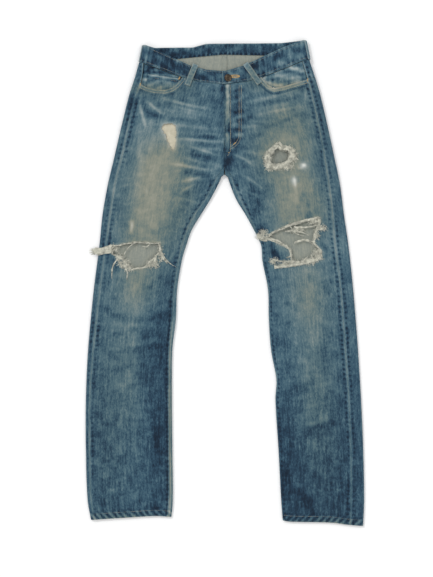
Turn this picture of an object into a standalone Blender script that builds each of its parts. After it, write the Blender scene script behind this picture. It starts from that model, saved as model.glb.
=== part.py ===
"""Ripped five-pocket jeans, laid flat on their back with the front side up.

Each leg is a flattened tube.  Its back panel lies on the floor, wraps round both edges of the leg
and meets the front panel on top, at the outseam and the inseam.  The waistband is one strip that
lies double, open at the top, with the front dipping below the back.

X points to the wearer's left, Y from the hems to the waist, Z up.  The origin is on the floor, in
the middle of the jeans.  Sizes below are in millimetres.
"""

import math
from collections import namedtuple

import bmesh
import bpy
from mathutils import Vector
from mathutils.bvhtree import BVHTree

MM = 0.001

# Cloth
DENIM = 1.2
BAND_CLOTH = 2.4
LOOP_CLOTH = 1.6
POCKET_CLOTH = 1.0
BAG_CLOTH = 1.0
SEAM_GAP = 0.3
BAND_SEAM_GAP = 0.6
FOLD_SEAM_GAP = 1.1
REST_GAP = 0.4

# Landmarks
CENTRE_X = -1.0
NOTCH_LEVEL = 248.0
HEM_LEVEL = -540.0
HEM_SHIFT_FROM = -380.0
HEM_RISE = 0.8
FLY_OVERLAP = 12.0
FLY_RISE = 1.5
FLY_STEP_FROM = 0.35
YOKE_STEP = 0.84
YOKE_POINT = 16.0

Edge = namedtuple("Edge", "level outer outseam")
Inner = namedtuple("Inner", "level inseam inner")
Spot = namedtuple("Spot", "at value")
Fold = namedtuple("Fold", "x0 y0 x1 y1 width height")
Strand = namedtuple("Strand", "x0 y0 x1 y1 bow radius")

# The wearer's right leg: where its outer fold and its outseam lie, seen from above
RIGHT_EDGE = (
    Edge(505, -195, -185), Edge(463, -207, -190), Edge(429, -218, -202),
    Edge(361, -235, -219), Edge(292, -251, -234), Edge(224, -267, -251),
    Edge(156, -279, -262), Edge(87, -286, -271), Edge(-15, -299, -285),
    Edge(-152, -312, -300), Edge(-266, -317, -308), Edge(-380, -317, -308),
    Edge(-494, -313, -305), Edge(-540, -305, -297),
)
RIGHT_INNER = (
    Inner(242, -19, -8), Inner(224, -27, -16), Inner(190, -46, -34), Inner(156, -70, -55),
    Inner(121, -87, -76), Inner(87, -98, -88), Inner(53, -106, -98), Inner(-15, -116, -109),
    Inner(-84, -120, -112), Inner(-152, -126, -120), Inner(-266, -127, -121),
    Inner(-380, -126, -120), Inner(-494, -126, -119), Inner(-540, -130, -123),
)
LEFT_EDGE = (
    Edge(505, 193, 176), Edge(463, 207, 188), Edge(429, 217, 198),
    Edge(361, 233, 213), Edge(292, 248, 226), Edge(224, 262, 237),
    Edge(156, 271, 245), Edge(87, 281, 251), Edge(-15, 292, 264),
    Edge(-152, 303, 274), Edge(-266, 310, 282), Edge(-380, 315, 287),
    Edge(-494, 317, 287), Edge(-545, 315, 286),
)
LEFT_INNER = (
    Inner(242, 16, 6), Inner(224, 21, 12), Inner(190, 36, 26), Inner(156, 53, 47),
    Inner(121, 69, 66), Inner(87, 82, 82), Inner(53, 85, 85), Inner(-15, 98, 98),
    Inner(-84, 100, 100), Inner(-152, 105, 105), Inner(-220, 117, 117), Inner(-266, 115, 115),
    Inner(-380, 122, 122), Inner(-494, 128, 128), Inner(-545, 132, 132),
)

# Edges of the waistband and of the hems, as the level at each place across
BAND_FRONT_BOTTOM = (
    Spot(-195, 502), Spot(-188, 502), Spot(-100, 470), Spot(-60, 459), Spot(0, 453),
    Spot(52, 460), Spot(84, 469), Spot(145, 493), Spot(171, 504), Spot(186, 508), Spot(193, 508),
)
BAND_FRONT_TOP = (
    Spot(-187, 542), Spot(-180, 542), Spot(-80, 496), Spot(-41, 486), Spot(0, 483),
    Spot(41, 495), Spot(84, 515), Spot(130, 536), Spot(164, 549), Spot(178, 553), Spot(184, 553),
)
BAND_BACK_BOTTOM = (
    Spot(-195, 502), Spot(-188, 502), Spot(-109, 511), Spot(-7, 521), Spot(89, 519), Spot(186, 508),
    Spot(193, 508),
)
BAND_BACK_TOP = (
    Spot(-187, 542), Spot(-180, 542), Spot(-160, 536), Spot(-73, 537), Spot(-43, 545),
    Spot(52, 546), Spot(130, 547), Spot(171, 552), Spot(184, 553),
)
BAND_SIDE_RIGHT = (Spot(0, -195), Spot(1, -187))
BAND_SIDE_LEFT = (Spot(0, 193), Spot(1, 184))
RIGHT_HEM = (Spot(-305, -539), Spot(-228, -534), Spot(-156, -530), Spot(-125, -532))
LEFT_HEM = (Spot(130, -540), Spot(150, -543), Spot(240, -545), Spot(280, -550), Spot(315, -553))

# Heights along the jeans: what the pockets below lift the seat by, the radius of the side folds,
# and the level of the upper cloth between them
SEAT_LIFT = (Spot(-600, 0), Spot(185, 0), Spot(255, 1.35), Spot(460, 1.35), Spot(495, 2.0), Spot(600, 2.0))
FOLD_RADIUS = (Spot(-600, 3.6), Spot(150, 3.6), Spot(400, 4.8), Spot(500, 6.0), Spot(600, 6.0))
UPPER_LEVEL = (Spot(-600, 6.6), Spot(150, 6.8), Spot(260, 9.4), Spot(450, 10.5), Spot(600, 10.5))
CROWN_REACH = 30.0
BACK_BAND_RAISE = 6.0
BACK_BAND_RAISE_REACH = 110.0
FRONT_BAND_DIP = 5.0
BAND_RIGHT_END, BAND_LEFT_END = 25.0, -5.0
BAND_UNDERLAP_DROP, BAND_OVERLAP_RISE = 1.0, 2.7

# Rows of the leg below the crotch, then shares of the way from the crotch to the waistband
LEG_ROWS = (
    -540, -525.5, -523, -492, -460, -425, -390, -350, -310, -270, -230, -190, -150, -110, -75,
    -40, -10, 20, 50, 75, 100, 125, 150, 175, 200, 222, 242,
)
SEAT_STEPS = (0.0, 0.085, 0.095, 0.18, 0.27, 0.35, 0.45, 0.54, 0.63, 0.73, 0.84, 0.92, 1.0)
TONGUE_WIDTHS = (13.0, 1.6)
FRONT_COLUMNS = 10
SEAM_COLUMNS = 3
SEAM_COLUMN_WIDTH = 2.0
ARC_STEPS = 4
STRIP_STEPS = 2
FLOOR_STEPS = 4
INNER_STEPS = 6

# The largest folds of the upper cloth, as lines with a height at the middle
FOLDS = (
    Fold(-180, 330, -192, 150, 34, 1.4), Fold(128, 330, 172, 140, 34, 1.4),
    Fold(76, 250, 86, 160, 12, -2.2), Fold(186, 175, 196, 120, 9, -1.6),
    Fold(-196, 404, -118, 378, 9, -1.5), Fold(-110, 352, -30, 340, 10, -1.2),
    Fold(-105, 318, -22, 300, 10, 1.4), Fold(60, 392, 150, 410, 12, 1.3),
    Fold(24, 330, 80, 312, 11, 1.5), Fold(-82, 208, -120, 140, 11, -1.3),
    Fold(-226, 210, -232, 130, 14, -1.2), Fold(100, 98, 124, 46, 9, -2.4),
    Fold(-212, 10, -206, -90, 16, 1.3), Fold(205, -60, 212, -180, 18, 1.4),
    Fold(184, -340, 240, -320, 9, -1.8), Fold(150, -250, 205, -225, 10, -1.4),
    Fold(166, -468, 201, -518, 10, -2.0), Fold(135, -410, 150, -470, 9, -1.4),
    Fold(-280, -350, -250, -420, 14, -1.3), Fold(-160, -300, -150, -400, 12, -1.4),
    Fold(-170, -508, -146, -518, 8, -1.6), Fold(-235, -440, -200, -490, 14, 1.2),
)

# Tears in the front panels, as outlines from the top left, clockwise seen from above
RIGHT_KNEE_RIP = (
    (-259, 86), (-242, 86), (-222, 91), (-205, 93), (-186, 93), (-166, 90), (-150, 92), (-146, 72),
    (-157, 63), (-170, 50), (-180, 38), (-196, 34), (-212, 31), (-222, 40), (-233, 54), (-243, 60),
    (-257, 66),
)
RIGHT_THIGH_WORN = (
    (-143, 353), (-137, 361), (-121, 364), (-112, 357), (-110, 344), (-111, 323), (-113, 315),
    (-120, 314), (-127, 324), (-134, 338),
)
LEFT_THIGH_RIP = (
    (101, 293), (108, 302), (120, 309), (128, 304), (138, 305), (146, 303), (149, 285),
    (142, 277), (129, 270), (115, 270), (103, 271), (98, 281),
)
LEFT_KNEE_RIP = (
    (95, 101), (107, 114), (130, 124), (146, 131), (181, 140), (210, 150), (216, 139), (206, 122),
    (201, 92), (217, 76), (219, 60), (198, 53), (172, 48), (152, 49), (151, 68), (149, 78),
    (139, 84), (116, 94), (101, 99),
)
# The right pocket mouth and the left one: the cloth between them and the waistband is cut away
RIGHT_MOUTH = (
    (-230, 520), (-230, 455), (-192, 453), (-178, 446), (-157, 441), (-136, 440), (-121, 445),
    (-110, 453), (-102, 463), (-97, 470), (-90, 520),
)
LEFT_MOUTH = (
    (74, 520), (83, 469), (90, 460), (99, 451), (112, 444), (129, 447), (157, 455), (178, 461),
    (188, 464), (230, 466), (230, 520),
)

# Loose yarns and locks at the tears
RIGHT_KNEE_STRANDS = (
    Strand(-205, 93, -234, 52, -6, 1.1), Strand(-240, 60, -257, 12, -7, 1.2),
    Strand(-226, 36, -225, 4, 3, 1.0), Strand(-222, 40, -240, 46, 3, 1.6),
    Strand(-148, 82, -132, 46, -4, 2.0), Strand(-146, 74, -111, 36, -5, 0.9),
    Strand(-157, 63, -172, 40, 4, 2.2), Strand(-170, 88, -190, 84, 3, 0.9),
    Strand(-258, 86, -303, 78, 3, 1.9), Strand(-259, 83, -306, 74, 2, 2.0),
    Strand(-259, 79, -306, 70, 1, 2.0),
    Strand(-259, 75, -303, 66, 0, 1.9), Strand(-259, 71, -290, 64, -1, 1.7),
)
LEFT_THIGH_STRANDS = (
    Strand(146, 292, 139, 276, 3, 1.2), Strand(149, 288, 163, 283, 1, 0.9),
    Strand(115, 270, 124, 262, 1, 1.0), Strand(100, 285, 92, 279, 1, 1.1), Strand(120, 309, 120, 316, 1, 1.0),
)
LEFT_KNEE_STRANDS = (
    Strand(146, 131, 208, 143, 4, 1.1), Strand(148, 129, 178, 108, -5, 1.2),
    Strand(160, 92, 201, 88, 8, 1.2), Strand(207, 122, 231, 129, -2, 1.4),
    Strand(150, 72, 140, 58, 5, 1.6), Strand(152, 50, 100, 58, 4, 1.3),
    Strand(172, 48, 120, 44, 3, 1.3), Strand(202, 56, 196, 66, 2, 1.5),
    Strand(97, 104, 74, 112, 2, 1.6), Strand(96, 100, 75, 106, 1, 1.6), Strand(96, 97, 79, 100, 1, 1.5),
    Strand(100, 106, 114, 119, 2, 1.4),
)
# Pieces sewn on: corners seen from above
BACK_POCKET = ((-28, 424), (-167, 430), (-155, 298), (-94, 274), (-37, 294))
FLY_EDGE = (1.0, 10.5)
FLY_EDGE_BOTTOM = 298.0
COIN_TOP_LEFT, COIN_TOP_RIGHT = (-176, 487), (-105, 466)
COIN_BOTTOM_LEFT, COIN_BOTTOM_RIGHT = (-180, 416), (-113, 398)
COIN_TIP_DROP = 10.0
FACING_BOTTOM = 384.0
FACING_TOP_GAP = 1.0
RIGHT_FACING_INNER, LEFT_FACING_INNER = -84.0, 70.0
RIGHT_FACING_SINK, LEFT_FACING_SINK = 1.75, 0.4
BAG_TOP, BAG_BOTTOM = 432.0, 286.0
BAG_OUTER, BAG_INNER = -206.0, -86.0
BAG_GAP = 0.7
BUTTON_AT = (7.0, 467.0)
BUTTON_RADIUS, BUTTON_HEIGHT = 8.5, 3.2
LOOP_WIDTH = 13.0
FRAY_REACH = 1.6
FRAY_STEP = 8.0
FRAY_RADIUS = 1.6
RIGHT_LOOP = ((-67, 498), (-86, 450))
LEFT_LOOP = ((46, 500), (79, 454))

DENIM_BLUE = (0.09, 0.16, 0.22, 1)
DENIM_DARK = (0.04, 0.09, 0.14, 1)
DENIM_WORN = (0.22, 0.26, 0.25, 1)
COTTON = (0.47, 0.44, 0.34, 1)
DULL_METAL = (0.10, 0.08, 0.06, 1)


def smoothstep(x):
    x = min(1.0, max(0.0, x))
    return x * x * (3 - 2 * x)


def along(table, at, column=1):
    """A smooth curve through a table's rows, read at one place along it."""
    rows = sorted(table)
    at = min(rows[-1][0], max(rows[0][0], at))
    k = max(i for i in range(len(rows) - 1) if rows[i][0] <= at or i == 0)
    here, after = rows[k], rows[k + 1]
    before = rows[k - 1] if k else here
    beyond = rows[k + 2] if k + 2 < len(rows) else after
    step = after[0] - here[0]
    t = (at - here[0]) / step
    slope_0 = (after[column] - before[column]) / max(after[0] - before[0], 1e-6) * step
    slope_1 = (beyond[column] - here[column]) / max(beyond[0] - here[0], 1e-6) * step
    return (
        (2 * t**3 - 3 * t**2 + 1) * here[column] + (t**3 - 2 * t**2 + t) * slope_0
        + (3 * t**2 - 2 * t**3) * after[column] + (t**3 - t**2) * slope_1
    )


def straight(table, at):
    """The straight lines between a table's rows, read at one place along them."""
    rows = sorted(table)
    for here, after in zip(rows, rows[1:]):
        if at <= after[0]:
            share = (at - here[0]) / (after[0] - here[0])
            return here[1] + max(0.0, share) * (after[1] - here[1])
    return rows[-1][1]


def segment_distance(x, y, line):
    dx, dy = line.x1 - line.x0, line.y1 - line.y0
    t = ((x - line.x0) * dx + (y - line.y0) * dy) / (dx * dx + dy * dy)
    t = min(1.0, max(0.0, t))
    return math.hypot(x - line.x0 - t * dx, y - line.y0 - t * dy)


def folds_at(x, y):
    return sum(f.height * math.exp(-((segment_distance(x, y, f) / f.width) ** 2)) for f in FOLDS)


class Leg:
    """One leg with its half of the seat.  toward is +1 where the middle lies at larger x."""

    def __init__(self, edge, inner, hem, toward):
        self.edge, self.inner_table, self.hem, self.toward = edge, inner, hem, toward
        self.middle = CENTRE_X - toward * SEAM_GAP / 2

    def outer(self, y):
        return along(self.edge, y, 1)

    def outseam(self, y):
        return along(self.edge, y, 2)

    def inner(self, y):
        return along(self.inner_table, y, 2)

    def inseam(self, y):
        return along(self.inner_table, y, 1)

    def upper(self, x, y, has_inner_fold):
        """Level of the outer skin on top, and the folds in it."""
        radius = straight(FOLD_RADIUS, y)
        reach = abs(x - self.outer(y)) - radius
        if has_inner_fold:
            reach = min(reach, abs(self.inner(y) - x) - radius)
        share = smoothstep(reach / CROWN_REACH)
        level = 2 * radius + share * (straight(UPPER_LEVEL, y) - 2 * radius + folds_at(x, y))
        return straight(SEAT_LIFT, y) + level

    def on_ring(self, y, run, has_inner_fold=True):
        """Point of the outer skin at a run in mm from the start of the flat top, towards the
        middle if positive and round the outer fold to the floor if negative."""
        radius = straight(FOLD_RADIUS, y)
        lift = straight(SEAT_LIFT, y)
        start = self.outer(y) + self.toward * radius
        half_turn = math.pi * radius
        if run < -half_turn:
            return Vector((start + self.toward * (-run - half_turn), y, lift))
        if run < 0:
            turn = -run / radius
            return Vector((
                start - self.toward * radius * math.sin(turn), y, lift + radius * (1 + math.cos(turn)),
            ))
        if has_inner_fold:
            end = self.inner(y) - self.toward * radius
            flat = abs(end - start)
            if run > flat + half_turn:
                return Vector((end - self.toward * (run - flat - half_turn), y, lift))
            if run > flat:
                turn = (run - flat) / radius
                return Vector((
                    end + self.toward * radius * math.sin(turn), y, lift + radius * (1 + math.cos(turn)),
                ))
        x = start + self.toward * run
        return Vector((x, y, self.upper(x, y, has_inner_fold)))

    def run_of_outseam(self, y):
        return abs(self.outseam(y) - self.outer(y)) - straight(FOLD_RADIUS, y)

    def flat_run(self, y):
        return abs(self.inner(y) - self.outer(y)) - 2 * straight(FOLD_RADIUS, y)

    def inseam_gap(self, y):
        """Half the gap at the inseam, wider where the seam lies on the tight inner fold."""
        radius = straight(FOLD_RADIUS, y)
        on_fold = smoothstep((1.8 * radius - abs(self.inner(y) - self.inseam(y))) / radius)
        return (SEAM_GAP + on_fold * (FOLD_SEAM_GAP - SEAM_GAP)) / 2

    def run_of_inseam(self, y):
        """Run of the inseam, which lies on top or part of the way round the inner fold."""
        radius = straight(FOLD_RADIUS, y)
        depth = abs(self.inner(y) - self.inseam(y))
        if depth >= radius:
            return self.flat_run(y) - (depth - radius)
        return self.flat_run(y) + radius * math.asin(1 - depth / radius)


RIGHT = Leg(RIGHT_EDGE, RIGHT_INNER, RIGHT_HEM, 1)
LEFT = Leg(LEFT_EDGE, LEFT_INNER, LEFT_HEM, -1)


def row_level(leg, row, x, band_bottom, seam_point=0.0):
    """Level of a row at one place across.  Leg rows turn parallel to the hem, seat rows climb
    from the crotch to the bottom edge of the waistband."""
    if row < len(LEG_ROWS):
        level = LEG_ROWS[row]
        share = min(1.0, max(0.0, (HEM_SHIFT_FROM - level) / (HEM_SHIFT_FROM - HEM_LEVEL)))
        return level + smoothstep(share * 1.3) * (along(leg.hem, x) - HEM_LEVEL)
    step = SEAT_STEPS[row - len(LEG_ROWS)]
    top = straight(band_bottom, x) - BAND_SEAM_GAP
    dip = max(0.0, 1 - abs(step - YOKE_STEP) / 0.2) * (1 - abs(x) / 200)
    return NOTCH_LEVEL + step * (top - NOTCH_LEVEL) - seam_point * max(0.0, dip)


def is_leg_row(row):
    return row < len(LEG_ROWS)


def hem_rise(row):
    return HEM_RISE if row < 2 else 0.0


def fly_rise(x, step):
    """The left front lies over the right one at the fly."""
    along_fly = smoothstep((step - 0.1) / (FLY_STEP_FROM - 0.1))
    return FLY_RISE * along_fly * (1 - smoothstep((x - 26) / 40))


def front_point(leg, column, row):
    """Outer skin of a front panel, from the outseam to the inseam or the fly."""
    step = 0.0 if is_leg_row(row) else SEAT_STEPS[row - len(LEG_ROWS)]
    y = NOTCH_LEVEL if not is_leg_row(row) else LEG_ROWS[row]
    x = 0.0
    for _ in range(3):
        start = leg.run_of_outseam(y) + SEAM_GAP / 2
        if is_leg_row(row):
            end = leg.run_of_inseam(y) - leg.inseam_gap(y)
        else:
            radius = straight(FOLD_RADIUS, y)
            middle = leg.middle
            if row - len(LEG_ROWS) < len(TONGUE_WIDTHS):
                middle -= leg.toward * (TONGUE_WIDTHS[row - len(LEG_ROWS)] + SEAM_GAP / 2)
            elif leg is RIGHT and step > FLY_STEP_FROM + 0.05:
                middle += FLY_OVERLAP
            end = abs(middle - leg.outer(y)) - radius
        wide_end = end - SEAM_COLUMNS * SEAM_COLUMN_WIDTH
        if column > FRONT_COLUMNS - SEAM_COLUMNS:
            run = end - (FRONT_COLUMNS - column) * SEAM_COLUMN_WIDTH
        else:
            run = start + column / (FRONT_COLUMNS - SEAM_COLUMNS) * (wide_end - start)
        point = leg.on_ring(y, run, is_leg_row(row))
        x = point.x
        y = row_level(leg, row, x, BAND_FRONT_BOTTOM)
    point.z += hem_rise(row)
    if leg is LEFT and not is_leg_row(row):
        point.z += fly_rise(x, step)
    return point


def back_stations():
    """Columns of a back panel, as part and share within it."""
    stations = [("strip", k / STRIP_STEPS) for k in range(STRIP_STEPS)]
    stations += [("outer", k / ARC_STEPS) for k in range(ARC_STEPS)]
    stations += [("floor", k / FLOOR_STEPS) for k in range(FLOOR_STEPS)]
    stations += [("inner", k / INNER_STEPS) for k in range(INNER_STEPS + 1)]
    return stations


BACK_STATIONS = back_stations()
INNER_FROM = BACK_STATIONS.index(("inner", 0.0))
TONGUE_FROM = INNER_FROM + ARC_STEPS


def back_point(leg, column, row):
    """Outer skin of a back panel or yoke, from the outseam round the outer fold, along the
    floor, round the inner fold of the leg and up to the inseam."""
    part, share = BACK_STATIONS[column]
    leg_row = is_leg_row(row)
    band_bottom = BAND_BACK_BOTTOM if part == "floor" else BAND_FRONT_BOTTOM
    y = LEG_ROWS[row] if leg_row else NOTCH_LEVEL
    point = Vector()
    for _ in range(3):
        radius = straight(FOLD_RADIUS, y)
        half_turn = math.pi * radius
        if part == "strip":
            run = (leg.run_of_outseam(y) - SEAM_GAP / 2) * (1 - share)
        elif part == "outer":
            run = -half_turn * share
        elif part == "floor":
            end = leg.inner(y) - leg.toward * radius if leg_row else leg.middle
            length = abs(end - leg.outer(y)) - radius
            run = -half_turn - share * length
        elif leg_row:
            bottom = leg.flat_run(y) + half_turn
            top = leg.run_of_inseam(y) + leg.inseam_gap(y)
            run = bottom + share * (top - bottom)
        if part == "inner" and not leg_row:
            point = tongue_point(leg, share, row, y)
        else:
            point = leg.on_ring(y, run, leg_row)
        y = row_level(leg, row, point.x, band_bottom, YOKE_POINT)
    point.y = y
    if part != "floor":
        point.z += hem_rise(row) * (1 if part == "strip" else 0)
    return point


def tongue_point(leg, share, row, y):
    """Above the notch between the legs the inner fold closes to a wall in the middle, and a
    short tongue of the back panel runs on top up to the point where the inseams meet."""
    radius = straight(FOLD_RADIUS, y)
    turn = math.pi * (1 - min(1.0, share * INNER_STEPS / ARC_STEPS))
    lift = straight(SEAT_LIFT, y)
    top = leg.upper(leg.middle, y, False)
    z = lift + (top - lift) * (1 + math.cos(turn)) / 2
    past = max(0.0, share * INNER_STEPS - ARC_STEPS) / (INNER_STEPS - ARC_STEPS)
    width = TONGUE_WIDTHS[min(row - len(LEG_ROWS), len(TONGUE_WIDTHS) - 1)]
    x = leg.middle - leg.toward * past * (width - SEAM_GAP / 2)
    return Vector((x, y, z if past == 0 else leg.upper(x, y, False)))


def keep_back_cell(column, row):
    """Above the notch only the floor part and the short tongue on top go on."""
    first = row - len(LEG_ROWS)
    if column < INNER_FROM or first < 0:
        return True
    return first == 0 and column >= TONGUE_FROM


def collection(name):
    made = bpy.data.collections.new(name)
    bpy.context.scene.collection.children.link(made)
    return made


def material(name, colour, roughness=0.9, metallic=0.0):
    made = bpy.data.materials.new(name)
    made.use_nodes = True
    shader = made.node_tree.nodes["Principled BSDF"]
    shader.inputs["Base Color"].default_value = colour
    shader.inputs["Roughness"].default_value = roughness
    shader.inputs["Metallic"].default_value = metallic
    return made


def add_object(name, bm, finish, home):
    mesh = bpy.data.meshes.new(name)
    bm.to_mesh(mesh)
    bm.free()
    made = bpy.data.objects.new(name, mesh)
    mesh.materials.append(finish)
    mesh.shade_smooth()
    home.objects.link(made)
    return made


def sheet(name, columns, rows, place, finish, home, thickness, flip=False, keep=None, outward=False):
    """A grid whose points are placed by a function, given its thickness below the outer skin."""
    bm = bmesh.new()
    bmesh.ops.create_grid(bm, x_segments=columns - 1, y_segments=rows - 1, size=1)
    where = {}
    for vertex in bm.verts:
        i = round((vertex.co.x + 1) / 2 * (columns - 1))
        j = round((vertex.co.y + 1) / 2 * (rows - 1))
        where[vertex] = (i, j)
    if keep:
        doomed = [
            f for f in bm.faces
            if not keep(min(where[v][0] for v in f.verts), min(where[v][1] for v in f.verts))
        ]
        bmesh.ops.delete(bm, geom=doomed, context="FACES")
    for vertex in bm.verts:
        vertex.co = place(*where[vertex]) * MM
    if flip:
        bmesh.ops.reverse_faces(bm, faces=bm.faces[:])
    made = add_object(name, bm, finish, home)
    wall = made.modifiers.new("thickness", "SOLIDIFY")
    wall.thickness = thickness * MM
    wall.offset = 1 if outward else -1
    wall.use_even_offset = True
    return made


def tree_of(*objects):
    """What rays can hit: the evaluated meshes of some objects, together."""
    depsgraph = bpy.context.evaluated_depsgraph_get()
    depsgraph.update()
    return [BVHTree.FromObject(o, depsgraph) for o in objects]


def height_over(trees, x, y):
    """Highest level of some objects at one place, or None."""
    hits = [t.ray_cast(Vector((x * MM, y * MM, 1)), Vector((0, 0, -1)))[0] for t in trees]
    found = [h.z / MM for h in hits if h]
    return max(found) if found else None


def height_under(trees, x, y):
    """Lowest level of some objects at one place, or None."""
    hits = [t.ray_cast(Vector((x * MM, y * MM, -1)), Vector((0, 0, 1)))[0] for t in trees]
    found = [h.z / MM for h in hits if h]
    return min(found) if found else None


def inner_skin_near(trees, x, y, toward):
    """Level of the inner side of a panel, read a little further in where the place is at its rim."""
    for reach in (0.0, 0.5, 1.0, 2.0, 4.0):
        level = height_under(trees, x + toward * reach, y - reach)
        if level is not None:
            return level
    return 0.0


def cut(panel, name, outline, home):
    """Cuts a tear or a pocket mouth straight down through a panel."""
    bm = bmesh.new()
    face = bm.faces.new([bm.verts.new((x * MM, y * MM, 2.6 * MM)) for x, y in outline])
    up = bmesh.ops.extrude_face_region(bm, geom=[face])["geom"]
    bmesh.ops.translate(bm, verts=[v for v in up if isinstance(v, bmesh.types.BMVert)], vec=(0, 0, 40 * MM))
    bmesh.ops.recalc_face_normals(bm, faces=bm.faces[:])
    cutter = add_object(name, bm, panel.data.materials[0], home)
    cutter.hide_render = True
    cutter.display_type = "WIRE"
    hole = panel.modifiers.new(name, "BOOLEAN")
    hole.operation = "DIFFERENCE"
    hole.object = cutter


def tube(name, points, radii, home, finish, cyclic=False, sides=0):
    """A yarn as a mesh with closed ends, along a line of points."""
    curve = bpy.data.curves.new(name, "CURVE")
    curve.dimensions = "3D"
    curve.bevel_depth = MM
    curve.bevel_resolution = sides
    curve.use_fill_caps = not cyclic
    line = curve.splines.new("POLY")
    line.points.add(len(points) - 1)
    for spot, point, radius in zip(line.points, points, radii):
        spot.co = (*(point * MM), 1)
        spot.radius = radius
    line.use_cyclic_u = cyclic
    bent = bpy.data.objects.new(name, curve)
    home.objects.link(bent)
    depsgraph = bpy.context.evaluated_depsgraph_get()
    mesh = bpy.data.meshes.new_from_object(bent.evaluated_get(depsgraph))
    bpy.data.objects.remove(bent)
    bm = bmesh.new()
    bm.from_mesh(mesh)
    bmesh.ops.remove_doubles(bm, verts=bm.verts[:], dist=0.02 * MM)
    bmesh.ops.recalc_face_normals(bm, faces=bm.faces[:])
    bpy.data.meshes.remove(mesh)
    return add_object(name, bm, finish, home)


def outline_points(outline, spacing):
    """Points at even steps round an outline."""
    points = []
    for (x0, y0), (x1, y1) in zip(outline, outline[1:] + outline[:1]):
        steps = max(1, round(math.hypot(x1 - x0, y1 - y0) / spacing))
        points += [(x0 + (x1 - x0) * k / steps, y0 + (y1 - y0) * k / steps) for k in range(steps)]
    return points


def widened(outline, by):
    """The outline moved away from its middle."""
    cx = sum(x for x, _ in outline) / len(outline)
    cy = sum(y for _, y in outline) / len(outline)
    wide = []
    for x, y in outline:
        reach = math.hypot(x - cx, y - cy)
        wide.append((x + (x - cx) / reach * by, y + (y - cy) / reach * by))
    return tuple(wide)


def level_on(trees, x, y, spread):
    """Highest level of some objects under a small square, or None."""
    offsets = (-spread, 0, spread)
    found = [height_over(trees, x + ex, y + ey) for ex in offsets for ey in offsets]
    found = [f for f in found if f is not None]
    return max(found) if found else None


def strand_points(strand, trees, steps=6):
    """A yarn's line, lying on the cloth where there is cloth below it."""
    dx, dy = strand.x1 - strand.x0, strand.y1 - strand.y0
    length = math.hypot(dx, dy)

    def spot(t):
        side = strand.bow * math.sin(math.pi * t)
        return strand.x0 + dx * t - dy / length * side, strand.y0 + dy * t + dx / length * side

    points = []
    for k in range(steps + 1):
        shares = [(k + part) / steps for part in (-0.9, -0.45, 0, 0.45, 0.9)]
        near = [level_on(trees, *spot(share), strand.radius) for share in shares]
        near = [n for n in near if n is not None]
        level = max(near) + REST_GAP + strand.radius if near else points[-1].z
        points.append(Vector((*spot(k / steps), level)))
    return points


def nearest_on_ring(ring, point):
    """The place on a closed line of points that lies nearest to a point."""
    best = ring[0]
    for here, after in zip(ring, ring[1:] + ring[:1]):
        side = after - here
        t = min(1.0, max(0.0, (point - here).dot(side) / side.length_squared))
        candidate = here + side * t
        if (candidate - point).length < (best - point).length:
            best = candidate
    return best


def frayed_edge(name, outline, strands, trees, finish, home, spare):
    """The rolled, frayed edge of a tear: a ring of yarn on the cloth, with loose yarns fused in."""
    ring = outline_points(widened(outline, FRAY_REACH), FRAY_STEP)
    radii = [FRAY_RADIUS + 0.3 * math.sin(2.3 * k) for k in range(len(ring))]
    levels = [level_on(trees, x, y, FRAY_STEP / 2) for x, y in ring]
    points = [
        Vector((x, y, level + REST_GAP + radius)) for (x, y), level, radius in zip(ring, levels, radii)
    ]
    root = tube(name, points, radii, home, finish, cyclic=True, sides=1)
    for k, strand in enumerate(strands):
        line = strand_points(strand, trees)
        line[0] = nearest_on_ring(points, line[0])
        taper = [strand.radius * (1 - 0.35 * i / len(line)) for i in range(len(line))]
        piece = tube(f"{name}_strand_{k}", line, taper, spare, finish)
        piece.hide_render = True
        piece.display_type = "WIRE"
        join = root.modifiers.new(piece.name, "BOOLEAN")
        join.operation = "UNION"
        join.use_self = name == "fray_thigh_left"
        join.object = piece
    return root


def build_panels(home, denim):
    """The two fronts, two backs and two yokes."""
    rows = len(LEG_ROWS) + len(SEAT_STEPS)
    yoke_row = len(LEG_ROWS) + SEAT_STEPS.index(YOKE_STEP)
    fronts = {}
    for side, leg in (("right", RIGHT), ("left", LEFT)):
        fronts[side] = sheet(
            f"front_{side}", FRONT_COLUMNS + 1, rows, lambda i, j: front_point(leg, i, j),
            denim, home, DENIM, flip=leg is LEFT,
        )
        sheet(
            f"back_{side}", len(BACK_STATIONS), yoke_row + 1,
            lambda i, j: below_yoke_seam(leg, i, j, yoke_row),
            denim, home, DENIM, flip=leg is RIGHT, keep=keep_back_cell,
        )
        sheet(
            f"yoke_{side}", INNER_FROM + 1, rows - yoke_row, lambda i, j: seat_point(leg, i, j + yoke_row),
            denim, home, DENIM, flip=leg is RIGHT,
        )
    return fronts


def seat_point(leg, column, row):
    """As back_point, with the last floor column at the middle of the seat."""
    if column == INNER_FROM:
        point = back_point(leg, column - 1, row)
        y = row_level(leg, row, leg.middle, BAND_BACK_BOTTOM, YOKE_POINT)
        return Vector((leg.middle, y, straight(SEAT_LIFT, point.y)))
    return back_point(leg, column, row)


def below_yoke_seam(leg, column, row, yoke_row):
    above_notch = not is_leg_row(row)
    if column == INNER_FROM and above_notch:
        point = seat_point(leg, column, row)
    else:
        point = back_point(leg, column, row)
    if row == yoke_row:
        point.y -= SEAM_GAP
    return point


def band_level(bottom, top, x, up):
    low, high = straight(bottom, x), straight(top, x)
    return low + up * (high - low)


def band_fold_start(side, up):
    """Where the band's fold begins beside the flat front, and which way it bulges."""
    radius = straight(FOLD_RADIUS, 520)
    if side == "right":
        return straight(BAND_SIDE_RIGHT, up) + radius, -1
    return straight(BAND_SIDE_LEFT, up) - radius, 1


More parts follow.
